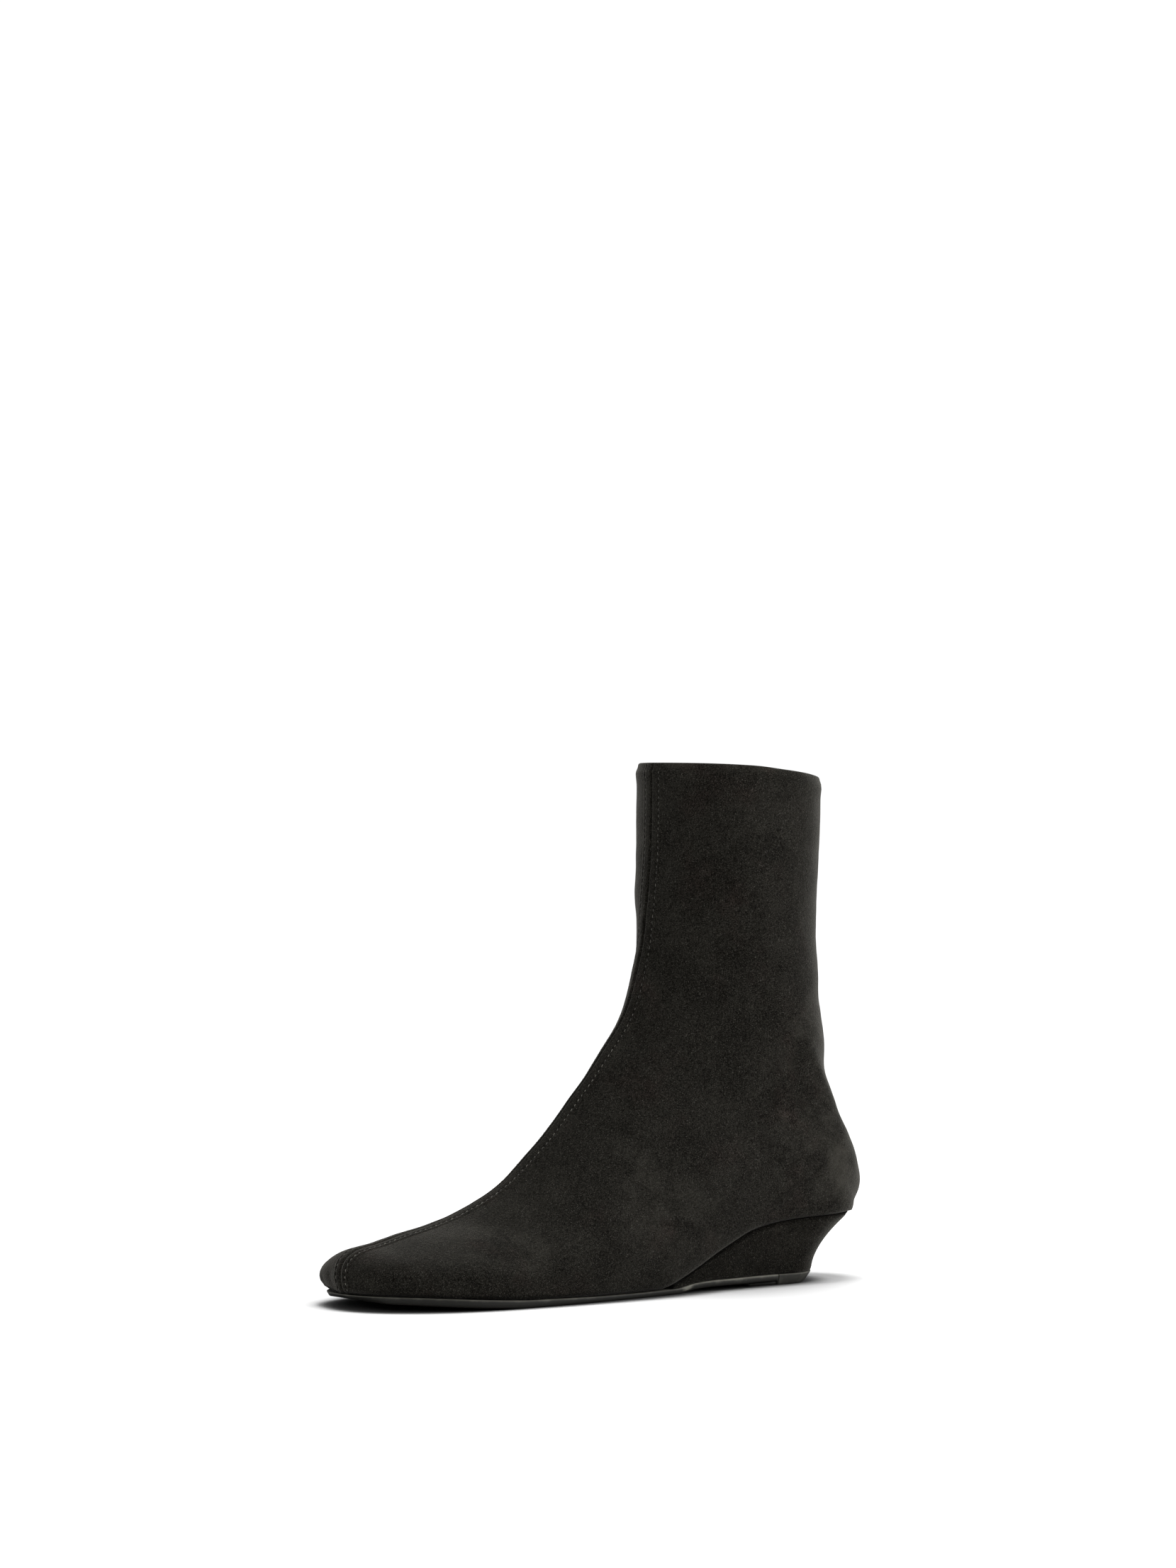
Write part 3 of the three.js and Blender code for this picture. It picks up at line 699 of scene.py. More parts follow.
def start_material(name: str) -> tuple[Material, Tree, bpy.types.Node]:
    """Starts a material.

    Args:
        name: Name of the material.

    Returns:
        The material, its tree and its Principled BSDF.
    """
    material = bpy.data.materials.new(name)
    material.use_nodes = True
    return material, Tree(material.node_tree), material.node_tree.nodes["Principled BSDF"]


def rgb(red: float, green: float, blue: float) -> Colour:
    """Colour with full alpha from linear red, green and blue."""
    return (red, green, blue, 1.0)


@dataclass(frozen=True)
class SuedeFinish:
    """Brushed black suede: matt, cloudy where the nap turns, speckled, and lighter at grazing angles through
    its sheen and a painted highlight along the edges.
    """

    name: str
    dark: Colour
    light: Colour
    tip: Colour = rgb(0.1, 0.096, 0.086)
    # Colour of the painted highlight that pales the suede's edges at grazing angles.
    rim_highlight_tone: Colour = rgb(0.11, 0.106, 0.096)
    sheen_tint: Colour = rgb(0.3, 0.29, 0.27)
    warmth: Point = (1.12, 0.96, 0.98)
    cloud_size: float = 17.0
    cloud_contrast: float = 0.25
    worn_contrast: float = 8.5
    streaks: float = 0.3
    speckle: float = 4.7
    middle: float = 0.31
    nap_share: float = 0.5
    tip_share: float = 0.5
    # Strength of that painted highlight, kept off places painted darker.
    rim_highlight: float = 0.58
    rim_blend: float = 0.2
    rim_range: Span = (0.26, 0.72)
    rim_nap: Span = (-0.35, 0.0)
    sheen: float = 0.25
    sheen_roughness: float = 0.35
    roughness: float = 0.95
    specular: float = 0.04
    bump: float = 0.6
    bump_depth: float = 0.0003

    def build(self, effects: SharedEffects) -> Material:
        """Makes the material.

        Args:
            effects: The shared node groups.

        Returns:
            The material.
        """
        material, tree, shader = start_material(self.name)
        clouds = tree.add("ShaderNodeGroup", node_tree=effects.clouds)
        clouds.inputs["Size"].default_value = self.cloud_size
        clouds.inputs["Contrast"].default_value = self.cloud_contrast
        clouds.inputs["Streaks"].default_value = self.streaks
        fibres = tree.add("ShaderNodeGroup", node_tree=effects.fibres)
        # The stored nap value makes the suede lighter or darker: brushed nap, painted highlights and painted
        # shade.
        nap = tree.stored("nap")
        unrest = tree.math("MULTIPLY_ADD", tree.math("MAXIMUM", nap, 0.0), self.worn_contrast, 1.0)
        light = tree.math("MULTIPLY_ADD", clouds.outputs["Light"], unrest, nap)
        light = tree.math("ADD", light, tree.math("MULTIPLY", fibres.outputs["Speckle"], self.speckle))
        light = tree.math("MULTIPLY_ADD", light, self.nap_share, self.middle)
        warm = tuple(part * tint for part, tint in zip(self.light, self.warmth)) + (1.0,)
        colour = tree.mix(light, self.dark, tree.mix(clouds.outputs["Warmth"], self.light, warm))
        tips = tree.math("MULTIPLY", fibres.outputs["Tip"], self.tip_share)
        colour = tree.mix(tips, colour, self.tip)
        normal = tree.bump(fibres.outputs["Height"], self.bump, self.bump_depth)
        # Painted highlight: the base colour pales at grazing angles, except where the suede is painted
        # darker.
        angle = {"Blend": self.rim_blend, "Normal": normal}
        facing = tree.add("ShaderNodeLayerWeight", angle).outputs["Facing"]
        raised = tree.math("MULTIPLY", tree.ramp(nap, *self.rim_nap), self.rim_highlight)
        rim_highlight = tree.math("MULTIPLY", tree.ramp(facing, *self.rim_range), raised)
        tree.tree.links.new(tree.mix(rim_highlight, colour, self.rim_highlight_tone), shader.inputs["Base Color"])
        shader.inputs["Roughness"].default_value = self.roughness
        shader.inputs["Specular IOR Level"].default_value = self.specular
        shader.inputs["Sheen Weight"].default_value = self.sheen
        shader.inputs["Sheen Roughness"].default_value = self.sheen_roughness
        shader.inputs["Sheen Tint"].default_value = self.sheen_tint
        tree.tree.links.new(normal, shader.inputs["Normal"])
        return material


@dataclass(frozen=True)
class RubberFinish:
    """Dark sole rubber, lighter in scuffed and abraded places and where highlights are painted, and darker
    where shade is painted.
    """

    name: str = "sole_rubber"
    base: Colour = rgb(0.0095, 0.0093, 0.0076)
    worn_and_highlight_tone: Colour = rgb(0.15, 0.145, 0.122)
    amount: float = 0.2
    roughness: float = 0.52
    grain: float = 0.2
    specular: float = 0.2
    bump: float = 0.25
    bump_depth: float = 0.0002

    def build(self, effects: SharedEffects) -> Material:
        """Makes the material.

        Args:
            effects: The shared node groups.

        Returns:
            The material.
        """
        material, tree, shader = start_material(self.name)
        scuffs = tree.add("ShaderNodeGroup", node_tree=effects.scuffs)
        scuffs.inputs["Amount"].default_value = self.amount
        # The stored value adds abraded places, painted highlights and painted shade to the scuffs.
        mask = tree.math("ADD", scuffs.outputs["Mask"], tree.stored("wear_and_painted_light"))
        colour = tree.mix(tree.ramp(mask, 0.0, 1.0), self.base, self.worn_and_highlight_tone)
        tree.tree.links.new(colour, shader.inputs["Base Color"])
        rough = tree.math("MULTIPLY_ADD", scuffs.outputs["Grain"], self.grain, self.roughness)
        tree.tree.links.new(rough, shader.inputs["Roughness"])
        shader.inputs["Specular IOR Level"].default_value = self.specular
        normal = tree.bump(scuffs.outputs["Grain"], self.bump, self.bump_depth)
        tree.tree.links.new(normal, shader.inputs["Normal"])
        return material


@dataclass(frozen=True)
class ThreadFinish:
    """Grey polyester sewing thread."""

    name: str = "seam_thread"
    colour: Colour = rgb(0.15, 0.142, 0.12)
    dull_share: float = 0.15
    roughness: float = 0.6

    def build(self, effects: SharedEffects) -> Material:
        """Makes the material.

        Args:
            effects: The shared node groups.

        Returns:
            The material.
        """
        material, tree, shader = start_material(self.name)
        scuffs = tree.add("ShaderNodeGroup", node_tree=effects.scuffs)
        light = tree.math("MULTIPLY", tree.math("ADD", scuffs.outputs["Grain"], 0.5), tree.stored("shade"))
        dull = tuple(self.dull_share * part for part in self.colour[:3]) + (1.0,)
        tree.tree.links.new(tree.mix(light, dull, self.colour), shader.inputs["Base Color"])
        shader.inputs["Roughness"].default_value = self.roughness
        return material


@dataclass(frozen=True)
class LiningFinish:
    """Dark woven lining and sock."""

    name: str = "woven_lining"
    base: Colour = rgb(0.018, 0.017, 0.016)
    thread: Colour = rgb(0.05, 0.048, 0.045)
    wave_scale: float = 1900.0 / 6.0
    unevenness: float = 0.4
    weave_share: float = 0.7
    roughness: float = 0.85
    sheen: float = 0.2
    bump: float = 0.3
    bump_depth: float = 0.0001

    def build(self, effects: SharedEffects) -> Material:
        """Makes the material.

        Args:
            effects: The shared node groups.

        Returns:
            The material.
        """
        material, tree, shader = start_material(self.name)
        inputs = {"Vector": tree.place(), "Scale": self.wave_scale, "Distortion": self.unevenness}
        warp = tree.add("ShaderNodeTexWave", inputs, bands_direction="X").outputs["Fac"]
        weft = tree.add("ShaderNodeTexWave", inputs, bands_direction="Z").outputs["Fac"]
        weave = tree.math("MAXIMUM", warp, weft)
        clouds = tree.add("ShaderNodeGroup", node_tree=effects.clouds)
        cloudy = tree.math("MULTIPLY", clouds.outputs["Light"], 1 - self.weave_share)
        shade = tree.math("MULTIPLY_ADD", weave, self.weave_share, cloudy)
        tree.tree.links.new(tree.mix(shade, self.base, self.thread), shader.inputs["Base Color"])
        shader.inputs["Roughness"].default_value = self.roughness
        shader.inputs["Sheen Weight"].default_value = self.sheen
        tree.tree.links.new(tree.bump(weave, self.bump, self.bump_depth), shader.inputs["Normal"])
        return material


# Pieces


@dataclass(frozen=True)
class Patch:
    """A place where the suede is painted lighter or darker, in the maker's millimetres: brushed nap, and
    painted light and shade.
    """

    x: float
    y: float
    z: float
    radius: float
    gain: float


@dataclass(frozen=True)
class Fold:
    """A soft trough or ridge across the upper: its ends, half width and height, and how its ends fade."""

    start: Point
    end: Point
    width: float
    height: float
    fade_in: Span = (-0.3, 0.1)
    fade_out: Span = (0.7, 1.3)


@dataclass(frozen=True)
class Swell:
    """A soft level ridge or hollow around the back.

    It has a level above the floor, a half width and a rise. It reaches forward to a place along the boot
    and keeps its full rise over the first share of that way.
    """

    level: float
    width: float
    rise: float
    reach: float
    full_share: float = 0.3


@dataclass
class Upper:
    """The suede upper with its front seam, rolled collar, lining and stitches."""

    last: Last
    place: Placement
    bed_rows: int = 200
    back_rows: int = 140
    seam_columns: int = 34
    side_columns: int = 72
    dense_steps: int = 600
    seam_reach: float = 8.5
    seam_limit: float = 0.3
    reach_limit: float = 0.55
    toe_drift: float = 4.2
    drift_fade: Span = (0.02, 0.34)
    row_offset: float = 4.5
    vamp_row_offset: float = 3.0
    offset_fade: Span = (0.24, 0.5)
    band_beyond_row: float = 1.5
    band_height: float = 0.34
    band_rise: Span = (0.1, 1.1)
    band_fall: Span = (-0.7, 0.5)
    band_nap: float = 0.1
    band_nap_width: float = 1.0
    groove_depth: float = 0.4
    groove_width: float = 0.65
    groove_least: float = 0.12
    groove_fade: Span = (32, 70)
    # Painted shade in the seam groove, stronger higher up the boot.
    groove_painted_shade: float = 0.4
    groove_shade_width: float = 0.6
    groove_shade_fade: Span = (20, 60)
    row_depth: float = 0.18
    row_width: float = 0.5
    # Painted shade along the sunken stitched rows.
    row_painted_shade: float = 0.3
    row_shade_width: float = 0.45
    stitch_pitch: float = 2.6
    stitch_length: float = 1.55
    stitch_slant: float = 0.22
    stitch_ends: Span = (0.9, 1.0)
    stitch_spread: Span = (0.72, 1.08)
    stitch_pull: float = 0.3
    stitch_bow: float = 0.2
    stitch_sink: float = 0.1
    stitch_shade: Span = (0.1, 1.0)
    shaft_shade: float = 0.65
    shaft_from: Span = (95, 125)
    far_shade: float = 0.5
    thread_radius: float = 0.15
    thread_end: float = 0.35
    thread_power: float = 0.4
    thread_sides: int = 8
    thread_rings: int = 7
    roll: float = 1.05
    roll_steps: int = 9
    collar_return: float = 2.2
    collar_swell: float = 0.35
    swell_fade: Span = (3.0, 9.0)
    collar_lean: float = 0.9
    lean_reach: float = 3.4
    # Painted highlight along the top of the rolled collar.
    collar_painted_highlight: float = 0.3
    collar_highlight_fade: Span = (0.3, 2.0)
    collar_droop: float = 0.45
    droop_reach: float = 14.0
    foot_draw: float = 0.6
    foot_reach: float = 2.0
    # Painted shade along the foot edge, where the upper meets the wedge and sole, and on the strip turned
    # under the foot.
    foot_painted_shade: float = 0.7
    foot_shade_fade: Span = (0.4, 2.2)
    under_painted_shade: float = -0.6
    under_lift: float = 0.02
    lining_step: int = 2
    lining_tuck: float = 0.25
    lining_drop: float = 1.6
    lining_reach: float = 12.0
    heel_passes: int = 140
    heel_from: Span = (0.84, 0.94)
    heel_until: Span = (1.3, 1.5)
    heel_edge: float = 12.0
    heel_columns: float = 0.42
    waves: tuple[Span, ...] = ((46.0, 0.16), (27.0, 0.1), (15.0, 0.06), (6.0, 0.025))
    waves_each: int = 5
    wave_share: float = 2.2
    droop_line: Fold = Fold((60, 40, 217), (30, 24, 217), 17.0, 1.0)
    # Brushed nap that also paints light and shade: lighter round the heel and the back of the shaft, darker
    # at the toe and low on the forefoot.
    patches: tuple[Patch, ...] = (
        Patch(14, 26, 62, 22, 0.42), Patch(24, 30, 40, 18, 0.34), Patch(60, 33, 70, 24, 0.14),
        Patch(46, 34, 104, 18, 0.16), Patch(70, 34, 150, 26, 0.04), Patch(124, 33, 38, 24, 0.2),
        Patch(190, 36, 20, 22, 0.12), Patch(206, 26, 28, 14, 0.16), Patch(160, 34, 26, 16, -0.14),
        Patch(100, 32, 84, 22, -0.08), Patch(62, 35, 190, 22, 0.05), Patch(78, 34, 112, 20, -0.05),
        Patch(238, 24, 12, 18, -0.2), Patch(40, 34, 158, 16, -0.06), Patch(204, 38, 7, 15, -0.16),
        Patch(166, 42, 5, 15, -0.14),
    )
    folds: tuple[Fold, ...] = (
        Fold((100, -8, 126), (122, -8, 90), 20.0, 0.55), Fold((250, -6, 18), (220, -5, 29), 12.0, 1.1),
        Fold((255, -14, 8), (257, -3, 12), 6.0, -1.2), Fold((204, -10, 36), (176, -10, 46), 14.0, -0.35),
    )
    swells: tuple[Swell, ...] = (
        Swell(119, 5.0, -0.8, 52), Swell(101, 10.0, 1.5, 58), Swell(70, 9.0, -1.35, 46),
        Swell(40, 9.0, 1.3, 40),
    )

    def build(self, suede: Material, lining: Material, thread: Material) -> None:
        """Builds the upper's pieces.

        Args:
            suede: Finish of the outside.
            lining: Finish of the inside.
            thread: Finish of the stitches.
        """
        skin, distance, under = self._skin()
        normals = self._normals(skin)
        offset = self._row_place(under)
        raised = self._shape(skin, normals, distance, offset)
        self._outside(raised, normals, self._nap_and_painted_light(skin, distance, offset), suede)
        self._inside(skin, normals, lining)
        self._stitches(raised, normals, distance, offset[:, 0], thread)

    def _skin(self) -> tuple[Array, Array, Array]:
        """Evenly spaced points of the last, fine beside the seam.

        Returns:
            Points with a row for each section, from the left foot edge over the front to the right, the
            signed distance of each from the seam, and the section of each row.
        """
        on_bed = np.linspace(0, 1, self.bed_rows + 1)
        under = np.concatenate([on_bed, np.linspace(1, 2, self.back_rows + 1)[1:]])[:, None]
        turn = np.linspace(0, 1, self.dense_steps + 1)[None, :]
        left, right = (self.last.points(under, side, turn) for side in Side)
        dense = np.concatenate([left[:, ::-1], right[:, 1:]], axis=1)
        arc = self._run(dense)
        front = arc[:, self.dense_steps]
        drift = self.toe_drift * fade(under[:, 0], *self.drift_fade)
        skin, distance = [], []
        for row, run in enumerate(arc):
            spots = self._spots(float(front[row] - drift[row]), float(run[-1]))
            skin.append(np.stack([np.interp(spots, run, dense[row, :, k]) for k in range(3)], axis=-1))
            distance.append(spots - front[row] + drift[row])
        return self._soften_heel(np.array(skin), under), np.array(distance), under

    def _spots(self, seam: float, total: float) -> Array:
        """Where along a section its points lie.

        Args:
            seam: Place of the seam along the section.
            total: Length of the section.

        Returns:
            The places, close together beside the seam.
        """
        centre = min(max(seam, self.seam_limit * total), (1 - self.seam_limit) * total)
        reach = min(self.seam_reach, self.reach_limit * centre, self.reach_limit * (total - centre))
        fine = centre + np.linspace(-reach, reach, 2 * self.seam_columns + 1)
        share = np.linspace(0, 1, self.side_columns + 1)
        before = share[:-1] * fine[0]
        after = fine[-1] + share[1:] * (total - fine[-1])
        return np.concatenate([before, fine, after])

    @staticmethod
    def _run(skin: Array) -> Array:
        """Distance of each point from the start of its row."""
        steps = np.linalg.norm(np.diff(skin, axis=1), axis=2)
        return np.concatenate([np.zeros((skin.shape[0], 1)), np.cumsum(steps, axis=1)], axis=1)

    def _row_place(self, under: Array) -> Array:
        """Distance of the stitched rows from the seam, smaller on the vamp and the toe than on the shaft."""
        widening = self.row_offset - self.vamp_row_offset
        return self.vamp_row_offset + widening * smooth_step(under, *self.offset_fade)

    def _soften_heel(self, skin: Array, under: Array) -> Array:
        """Evens out the ridge where the sections turn from the bed to the back line.

        Args:
            skin: Points of the last.
            under: Section of each row.

        Returns:
            The evened points.
        """
        columns = skin.shape[1]
        edge = np.minimum(np.arange(columns), columns - 1 - np.arange(columns))
        weight = smooth_step(under, *self.heel_from) * fade(under, *self.heel_until)
        weight = weight * smooth_step(edge, 0, self.heel_edge) * (edge < self.heel_columns * columns)
        weight = weight[1:-1, :, None]
        for _ in range(self.heel_passes):
            even = 0.5 * (skin[:-2] + skin[2:])
            skin[1:-1] += 0.5 * weight * (even - skin[1:-1])
        return skin

    @staticmethod
    def _normals(skin: Array) -> Array:
        """Outward directions of the skin's points.

        Args:
            skin: Points of the last.

        Returns:
            A direction of length 1 for each point.
        """
        normals = np.cross(np.gradient(skin, axis=1), np.gradient(skin, axis=0))
        normals /= np.maximum(np.linalg.norm(normals, axis=2, keepdims=True), 1e-9)
        if np.sum(normals[:, :, 1] * (skin[:, :, 1] - skin[:, :, 1].mean())) < 0:
            normals = -normals
        normals[0] = (1.0, 0.0, 0.0)
        return normals

    def _shape(self, skin: Array, normals: Array, distance: Array, offset: Array) -> Array:
        """Moves the skin for the seam band, the folds, the swells, the collar edge and the foot edge.

        Args:
            skin: Points of the last.
            normals: Their outward directions.
            distance: Their signed distances from the seam.
            offset: Distance of the stitched rows from the seam, a row for each section.

        Returns:
            The moved points.
        """
        away = np.abs(distance)
        deep = smooth_step(skin[:, :, 2], *self.groove_fade)
        groove = self.groove_depth * (self.groove_least + (1 - self.groove_least) * deep)
        band = fade(away - offset - self.band_beyond_row, *self.band_fall)
        height = self.band_height * smooth_step(away, *self.band_rise) * band
        height = height - groove * bell(away, 0.0, self.groove_width)
        height = height - self.row_depth * bell(away, offset, self.row_width)
        for fold in self.folds:
            height = height + self._fold_height(skin, fold)
        for swell in self.swells:
            near = fade(skin[:, :, 0], swell.full_share * swell.reach, swell.reach)
            height = height + swell.rise * bell(skin[:, :, 2], swell.level, swell.width) * near
        below = skin[-1:, :, 2] - skin[:, :, 2]
        height = height + self.collar_swell * fade(below, *self.swell_fade)
        height = height - self.collar_lean * fade(below, 0.0, self.lean_reach)
        height = height - self.foot_draw * fade(self._foot_distance(skin), 0.0, self.foot_reach)
        height = height + self._unevenness(skin)
        raised = skin + normals * height[:, :, None]
        droop = self.roll + self.collar_droop * self._fold_height(skin, self.droop_line)
        raised[:, :, 2] -= droop * fade(below, 0.0, self.droop_reach)
        return raised

    def _foot_distance(self, skin: Array) -> Array:
        """Distance of each point from the edge that turns under the foot.

        Args:
            skin: Points of the last.

        Returns:
            The distances.
        """
        run = self._run(skin)
        foot = np.minimum(run, run[:, -1:] - run)
        climb = np.maximum(skin[:, :1, 2] - skin[self.bed_rows, 0, 2], 0.0)
        climb[: self.bed_rows] = 0.0
        return np.hypot(foot, climb)

    @staticmethod
    def _fold_height(skin: Array, fold: Fold) -> Array:
        """Height of one fold at each point, fading towards its ends.

        Args:
            skin: Points of the last.
            fold: The fold.

        Returns:
            The heights.
        """
        start, end = np.array(fold.start), np.array(fold.end)
        line = end - start
        share = np.clip(((skin - start) @ line) / (line @ line), fold.fade_in[0], fold.fade_out[1])
        away = np.linalg.norm(skin - (start + share[:, :, None] * line), axis=2)
        ends = smooth_step(share, *fold.fade_in) * fade(share, *fold.fade_out)
        return fold.height * bell(away, 0.0, fold.width) * ends

    def _unevenness(self, skin: Array) -> Array:
        """Slow hand-made unevenness of the stretched suede, a tenth of a millimetre or two.

        Args:
            skin: Points of the last.

        Returns:
            A height for each point.
        """
        rng = np.random.default_rng(SEED)
        total = np.zeros(skin.shape[:2])
        for size, height in self.waves:
            for _ in range(self.waves_each):
                direction = rng.normal(size=3)
                direction /= np.linalg.norm(direction)
                phase = rng.uniform(0, 2 * math.pi)
                total += height / self.wave_share * np.sin(skin @ direction * 2 * math.pi / size + phase)
        return total

    def _nap_and_painted_light(self, skin: Array, distance: Array, offset: Array) -> Array:
        """How much lighter or darker the suede is painted at each point: brushed nap that also paints light
        and shade, a lighter line beside each stitched row, painted shade in the seam groove, along the rows
        and along the foot edge, and a painted highlight on the collar's top.

        Args:
            skin: Points of the last.
            distance: Their signed distances from the seam.
            offset: Distance of the stitched rows from the seam, a row for each section.

        Returns:
            The values, above 0 lighter and below 0 darker.
        """
        nap = np.zeros(skin.shape[:2])
        for patch in self.patches:
            away = np.linalg.norm(skin - np.array([patch.x, patch.y, patch.z]), axis=2)
            nap += patch.gain * bell(away, 0.0, patch.radius)
        away = np.abs(distance)
        nap += self.band_nap * bell(away, offset + self.band_beyond_row, self.band_nap_width)
        # Painted shade in the seam groove and along the stitched rows.
        deep = smooth_step(skin[:, :, 2], *self.groove_shade_fade)
        nap -= self.groove_painted_shade * bell(away, 0.0, self.groove_shade_width) * deep
        nap -= self.row_painted_shade * bell(away, offset, self.row_shade_width)
        # Painted highlight on the collar's top and painted shade along the foot edge.
        nap += self.collar_painted_highlight * fade(skin[-1:, :, 2] - skin[:, :, 2], *self.collar_highlight_fade)
        nap -= self.foot_painted_shade * fade(self._foot_distance(skin), *self.foot_shade_fade)
        return nap

    def _outside(self, raised: Array, normals: Array, nap: Array, suede: Material) -> None:
        """Builds the outside with the rolled collar and the edge that turns under the foot.

        Args:
            raised: Its points.
            normals: Their outward directions.
            nap: How much lighter or darker each is painted, for brushed nap and for painted light and shade.
            suede: Its finish.
        """
        flat = normals[-1] * np.array([1.0, 1.0, 0.0])
        flat /= np.linalg.norm(flat, axis=1, keepdims=True)
        rolled = []
        for angle in np.linspace(0, math.pi, self.roll_steps + 1)[1:]:
            ring = raised[-1] + flat * self.roll * (math.cos(angle) - 1)
            ring[:, 2] += self.roll * math.sin(angle)
            rolled.append(ring)
        rolled.append(rolled[-1] - np.array([0, 0, self.collar_return]))
        grid = np.concatenate([raised, np.array(rolled)], axis=0)
        nap = np.concatenate([nap, np.repeat(nap[-1:], len(rolled), axis=0)], axis=0)
        faces = grid_faces(grid.shape[0], grid.shape[1])
        points, faces = self._turn_under(grid.reshape(-1, 3), faces, grid.shape[1])
        piece = mesh_piece("suede_upper", self.place.metres(points), faces, suede)
        # The strip turned under the foot is painted in shade.
        values = np.full(len(points), self.under_painted_shade)
        values[: nap.size] = nap.reshape(-1)
        add_values(piece, "nap", values)
        clean_piece(piece)
        register(piece, Slot.SUEDE, ("upper",))

    def _turn_under(self, points: Array, faces: Faces, columns: int) -> tuple[Array, Faces]:
        """Adds the strip that turns in under the foot along both foot edges.

        Args:
            points: Points of the outside.
            faces: Its faces.
            columns: Points in a row.

        Returns:
            The points and faces with the strip.
        """
        count = len(points)
        added = []
        for k, plan in enumerate(self.last.outline(self.last.wall, self.bed_rows)):
            column = k * (columns - 1)
            added.append(np.column_stack([plan, self.last.bed(plan[:, 0]) + self.under_lift]))
            for row in range(self.bed_rows):
                a, b = row * columns + column, (row + 1) * columns + column
                c = count + k * (self.bed_rows + 1) + row
                quad = (a, b, c + 1, c)
                faces.append(quad if k else quad[::-1])
        return np.concatenate([points, *added]), faces

    def _inside(self, skin: Array, normals: Array, lining: Material) -> None:
        """Builds the lining, a little inside the suede from the collar down to the foot edge.

        Args:
            skin: Points of the last.
            normals: Their outward directions.
            lining: Its finish.
        """
        step = self.lining_step
        coarse, flat = skin[::step, ::step], normals[::step, ::step].copy()
        flat[:, (0, -1), 2] = 0.0
        flat /= np.maximum(np.linalg.norm(flat, axis=2, keepdims=True), 1e-9)
        inside = coarse - flat * (2 * self.roll - self.lining_tuck)
        below = coarse[-1:, :, 2] - coarse[:, :, 2]
        inside[:, :, 2] -= self.lining_drop * fade(below, 0.0, self.lining_reach)
        points = self.place.metres(inside.reshape(-1, 3))
        piece = mesh_piece("shaft_lining", points, grid_faces(*inside.shape[:2]), lining)
        clean_piece(piece)
        register(piece, Slot.LINING)

    def _stitches(
        self, raised: Array, normals: Array, distance: Array, offset: Array, thread: Material
    ) -> None:
        """Lays the two rows of stitches beside the front seam, each stitch a short sunken capsule.

        Args:
            raised: Points of the outside.
            normals: Their outward directions.
            distance: Their signed distances from the seam.
            offset: Distance of the stitched rows from the seam for each section.
            thread: Finish of the stitches.
        """
        points: list[Array] = []
        faces: Faces = []
        shades: list[float] = []
        rng = np.random.default_rng(SEED)
        first, rest = self.stitch_ends
        for side in Side:
            path, out = self._row_path(raised, normals, distance, -side.value * offset)
            run = self._run(path[None])[0]
            for place in np.arange(first, run[-1] - rest - self.stitch_length, self.stitch_pitch):
                long = self.stitch_length * rng.uniform(*self.stitch_spread)
                start, end, lift = (
                    np.array([np.interp(place + reach, run, line[:, k]) for k in range(3)])
                    for reach, line in ((0.0, path), (long, path), (0.5 * long, out))
                )
                across = np.cross(end - start, lift)
                slant = 0.5 * self.stitch_slant * side.value * across / np.linalg.norm(across)
                pull = rng.uniform(0.0, self.stitch_pull)
                self._capsule(points, faces, start + slant, end - slant, lift - lift * pull)
                high = self.shaft_shade * float(smooth_step(start[2], *self.shaft_from))
                shade = rng.uniform(*self.stitch_shade) * (1.0 - high)
                shade *= 1.0 if side is Side.LEFT else self.far_shade
                shades += [shade] * (len(points) - len(shades))
        piece = mesh_piece("seam_stitches", self.place.metres(np.array(points)), faces, thread)
        add_values(piece, "shade", np.array(shades))
        register(piece, Slot.SUEDE)

    @staticmethod
    def _row_path(
        raised: Array, normals: Array, distance: Array, offset: Array, margin: float = 0.3
    ) -> tuple[Array, Array]:
        """Line at a given distance from the seam, and the outward direction along it.

        Args:
            raised: Points of the outside.
            normals: Outward directions.
            distance: Signed distances from the seam.
            offset: Signed distance of the line from the seam in each row.
            margin: Distance from the foot edges in which the line isn't drawn.

        Returns:
            Points and directions, from the toe to the collar.
        """
        path, out = [], []
        for row, where in enumerate(offset):
            if distance[row, 0] + margin < where < distance[row, -1] - margin:
                path.append([np.interp(where, distance[row], raised[row, :, k]) for k in range(3)])
                out.append([np.interp(where, distance[row], normals[row, :, k]) for k in range(3)])
        return np.array(path), np.array(out)

    def _capsule(self, points: list[Array], faces: Faces, start: Array, end: Array, out: Array) -> None:
        """Adds one stitch: a bowed capsule whose ends sink into the suede.

        Args:
            points: Points so far.
            faces: Faces so far.
            start: One end.
            end: The other end.
            out: Outward direction, shorter for a stitch pulled tighter.
        """
        along = (end - start) / np.linalg.norm(end - start)
        across = np.cross(along, out)
        across /= np.linalg.norm(across)
        up = np.cross(across, along)
        bow = self.stitch_bow * np.linalg.norm(out)
        around, rings = self.thread_sides, self.thread_rings
        first = len(points)
        for ring in range(rings):
            arch = math.sin(math.pi * ring / (rings - 1))
            centre = start + (end - start) * ring / (rings - 1) + up * (bow * arch - self.stitch_sink)
            swell = (1 - self.thread_end) * max(arch, 0.0) ** self.thread_power
            radius = self.thread_radius * (self.thread_end + swell)
            for i in range(around):
                angle = 2 * math.pi * i / around
                points.append(centre + radius * (math.cos(angle) * across + math.sin(angle) * up))
        for ring in range(rings - 1):
            for i in range(around):
                a, b = first + ring * around + i, first + ring * around + (i + 1) % around
                faces.append((a, b, b + around, a + around))
        faces.append(tuple(first + i for i in range(around))[::-1])
        faces.append(tuple(first + (rings - 1) * around + i for i in range(around)))


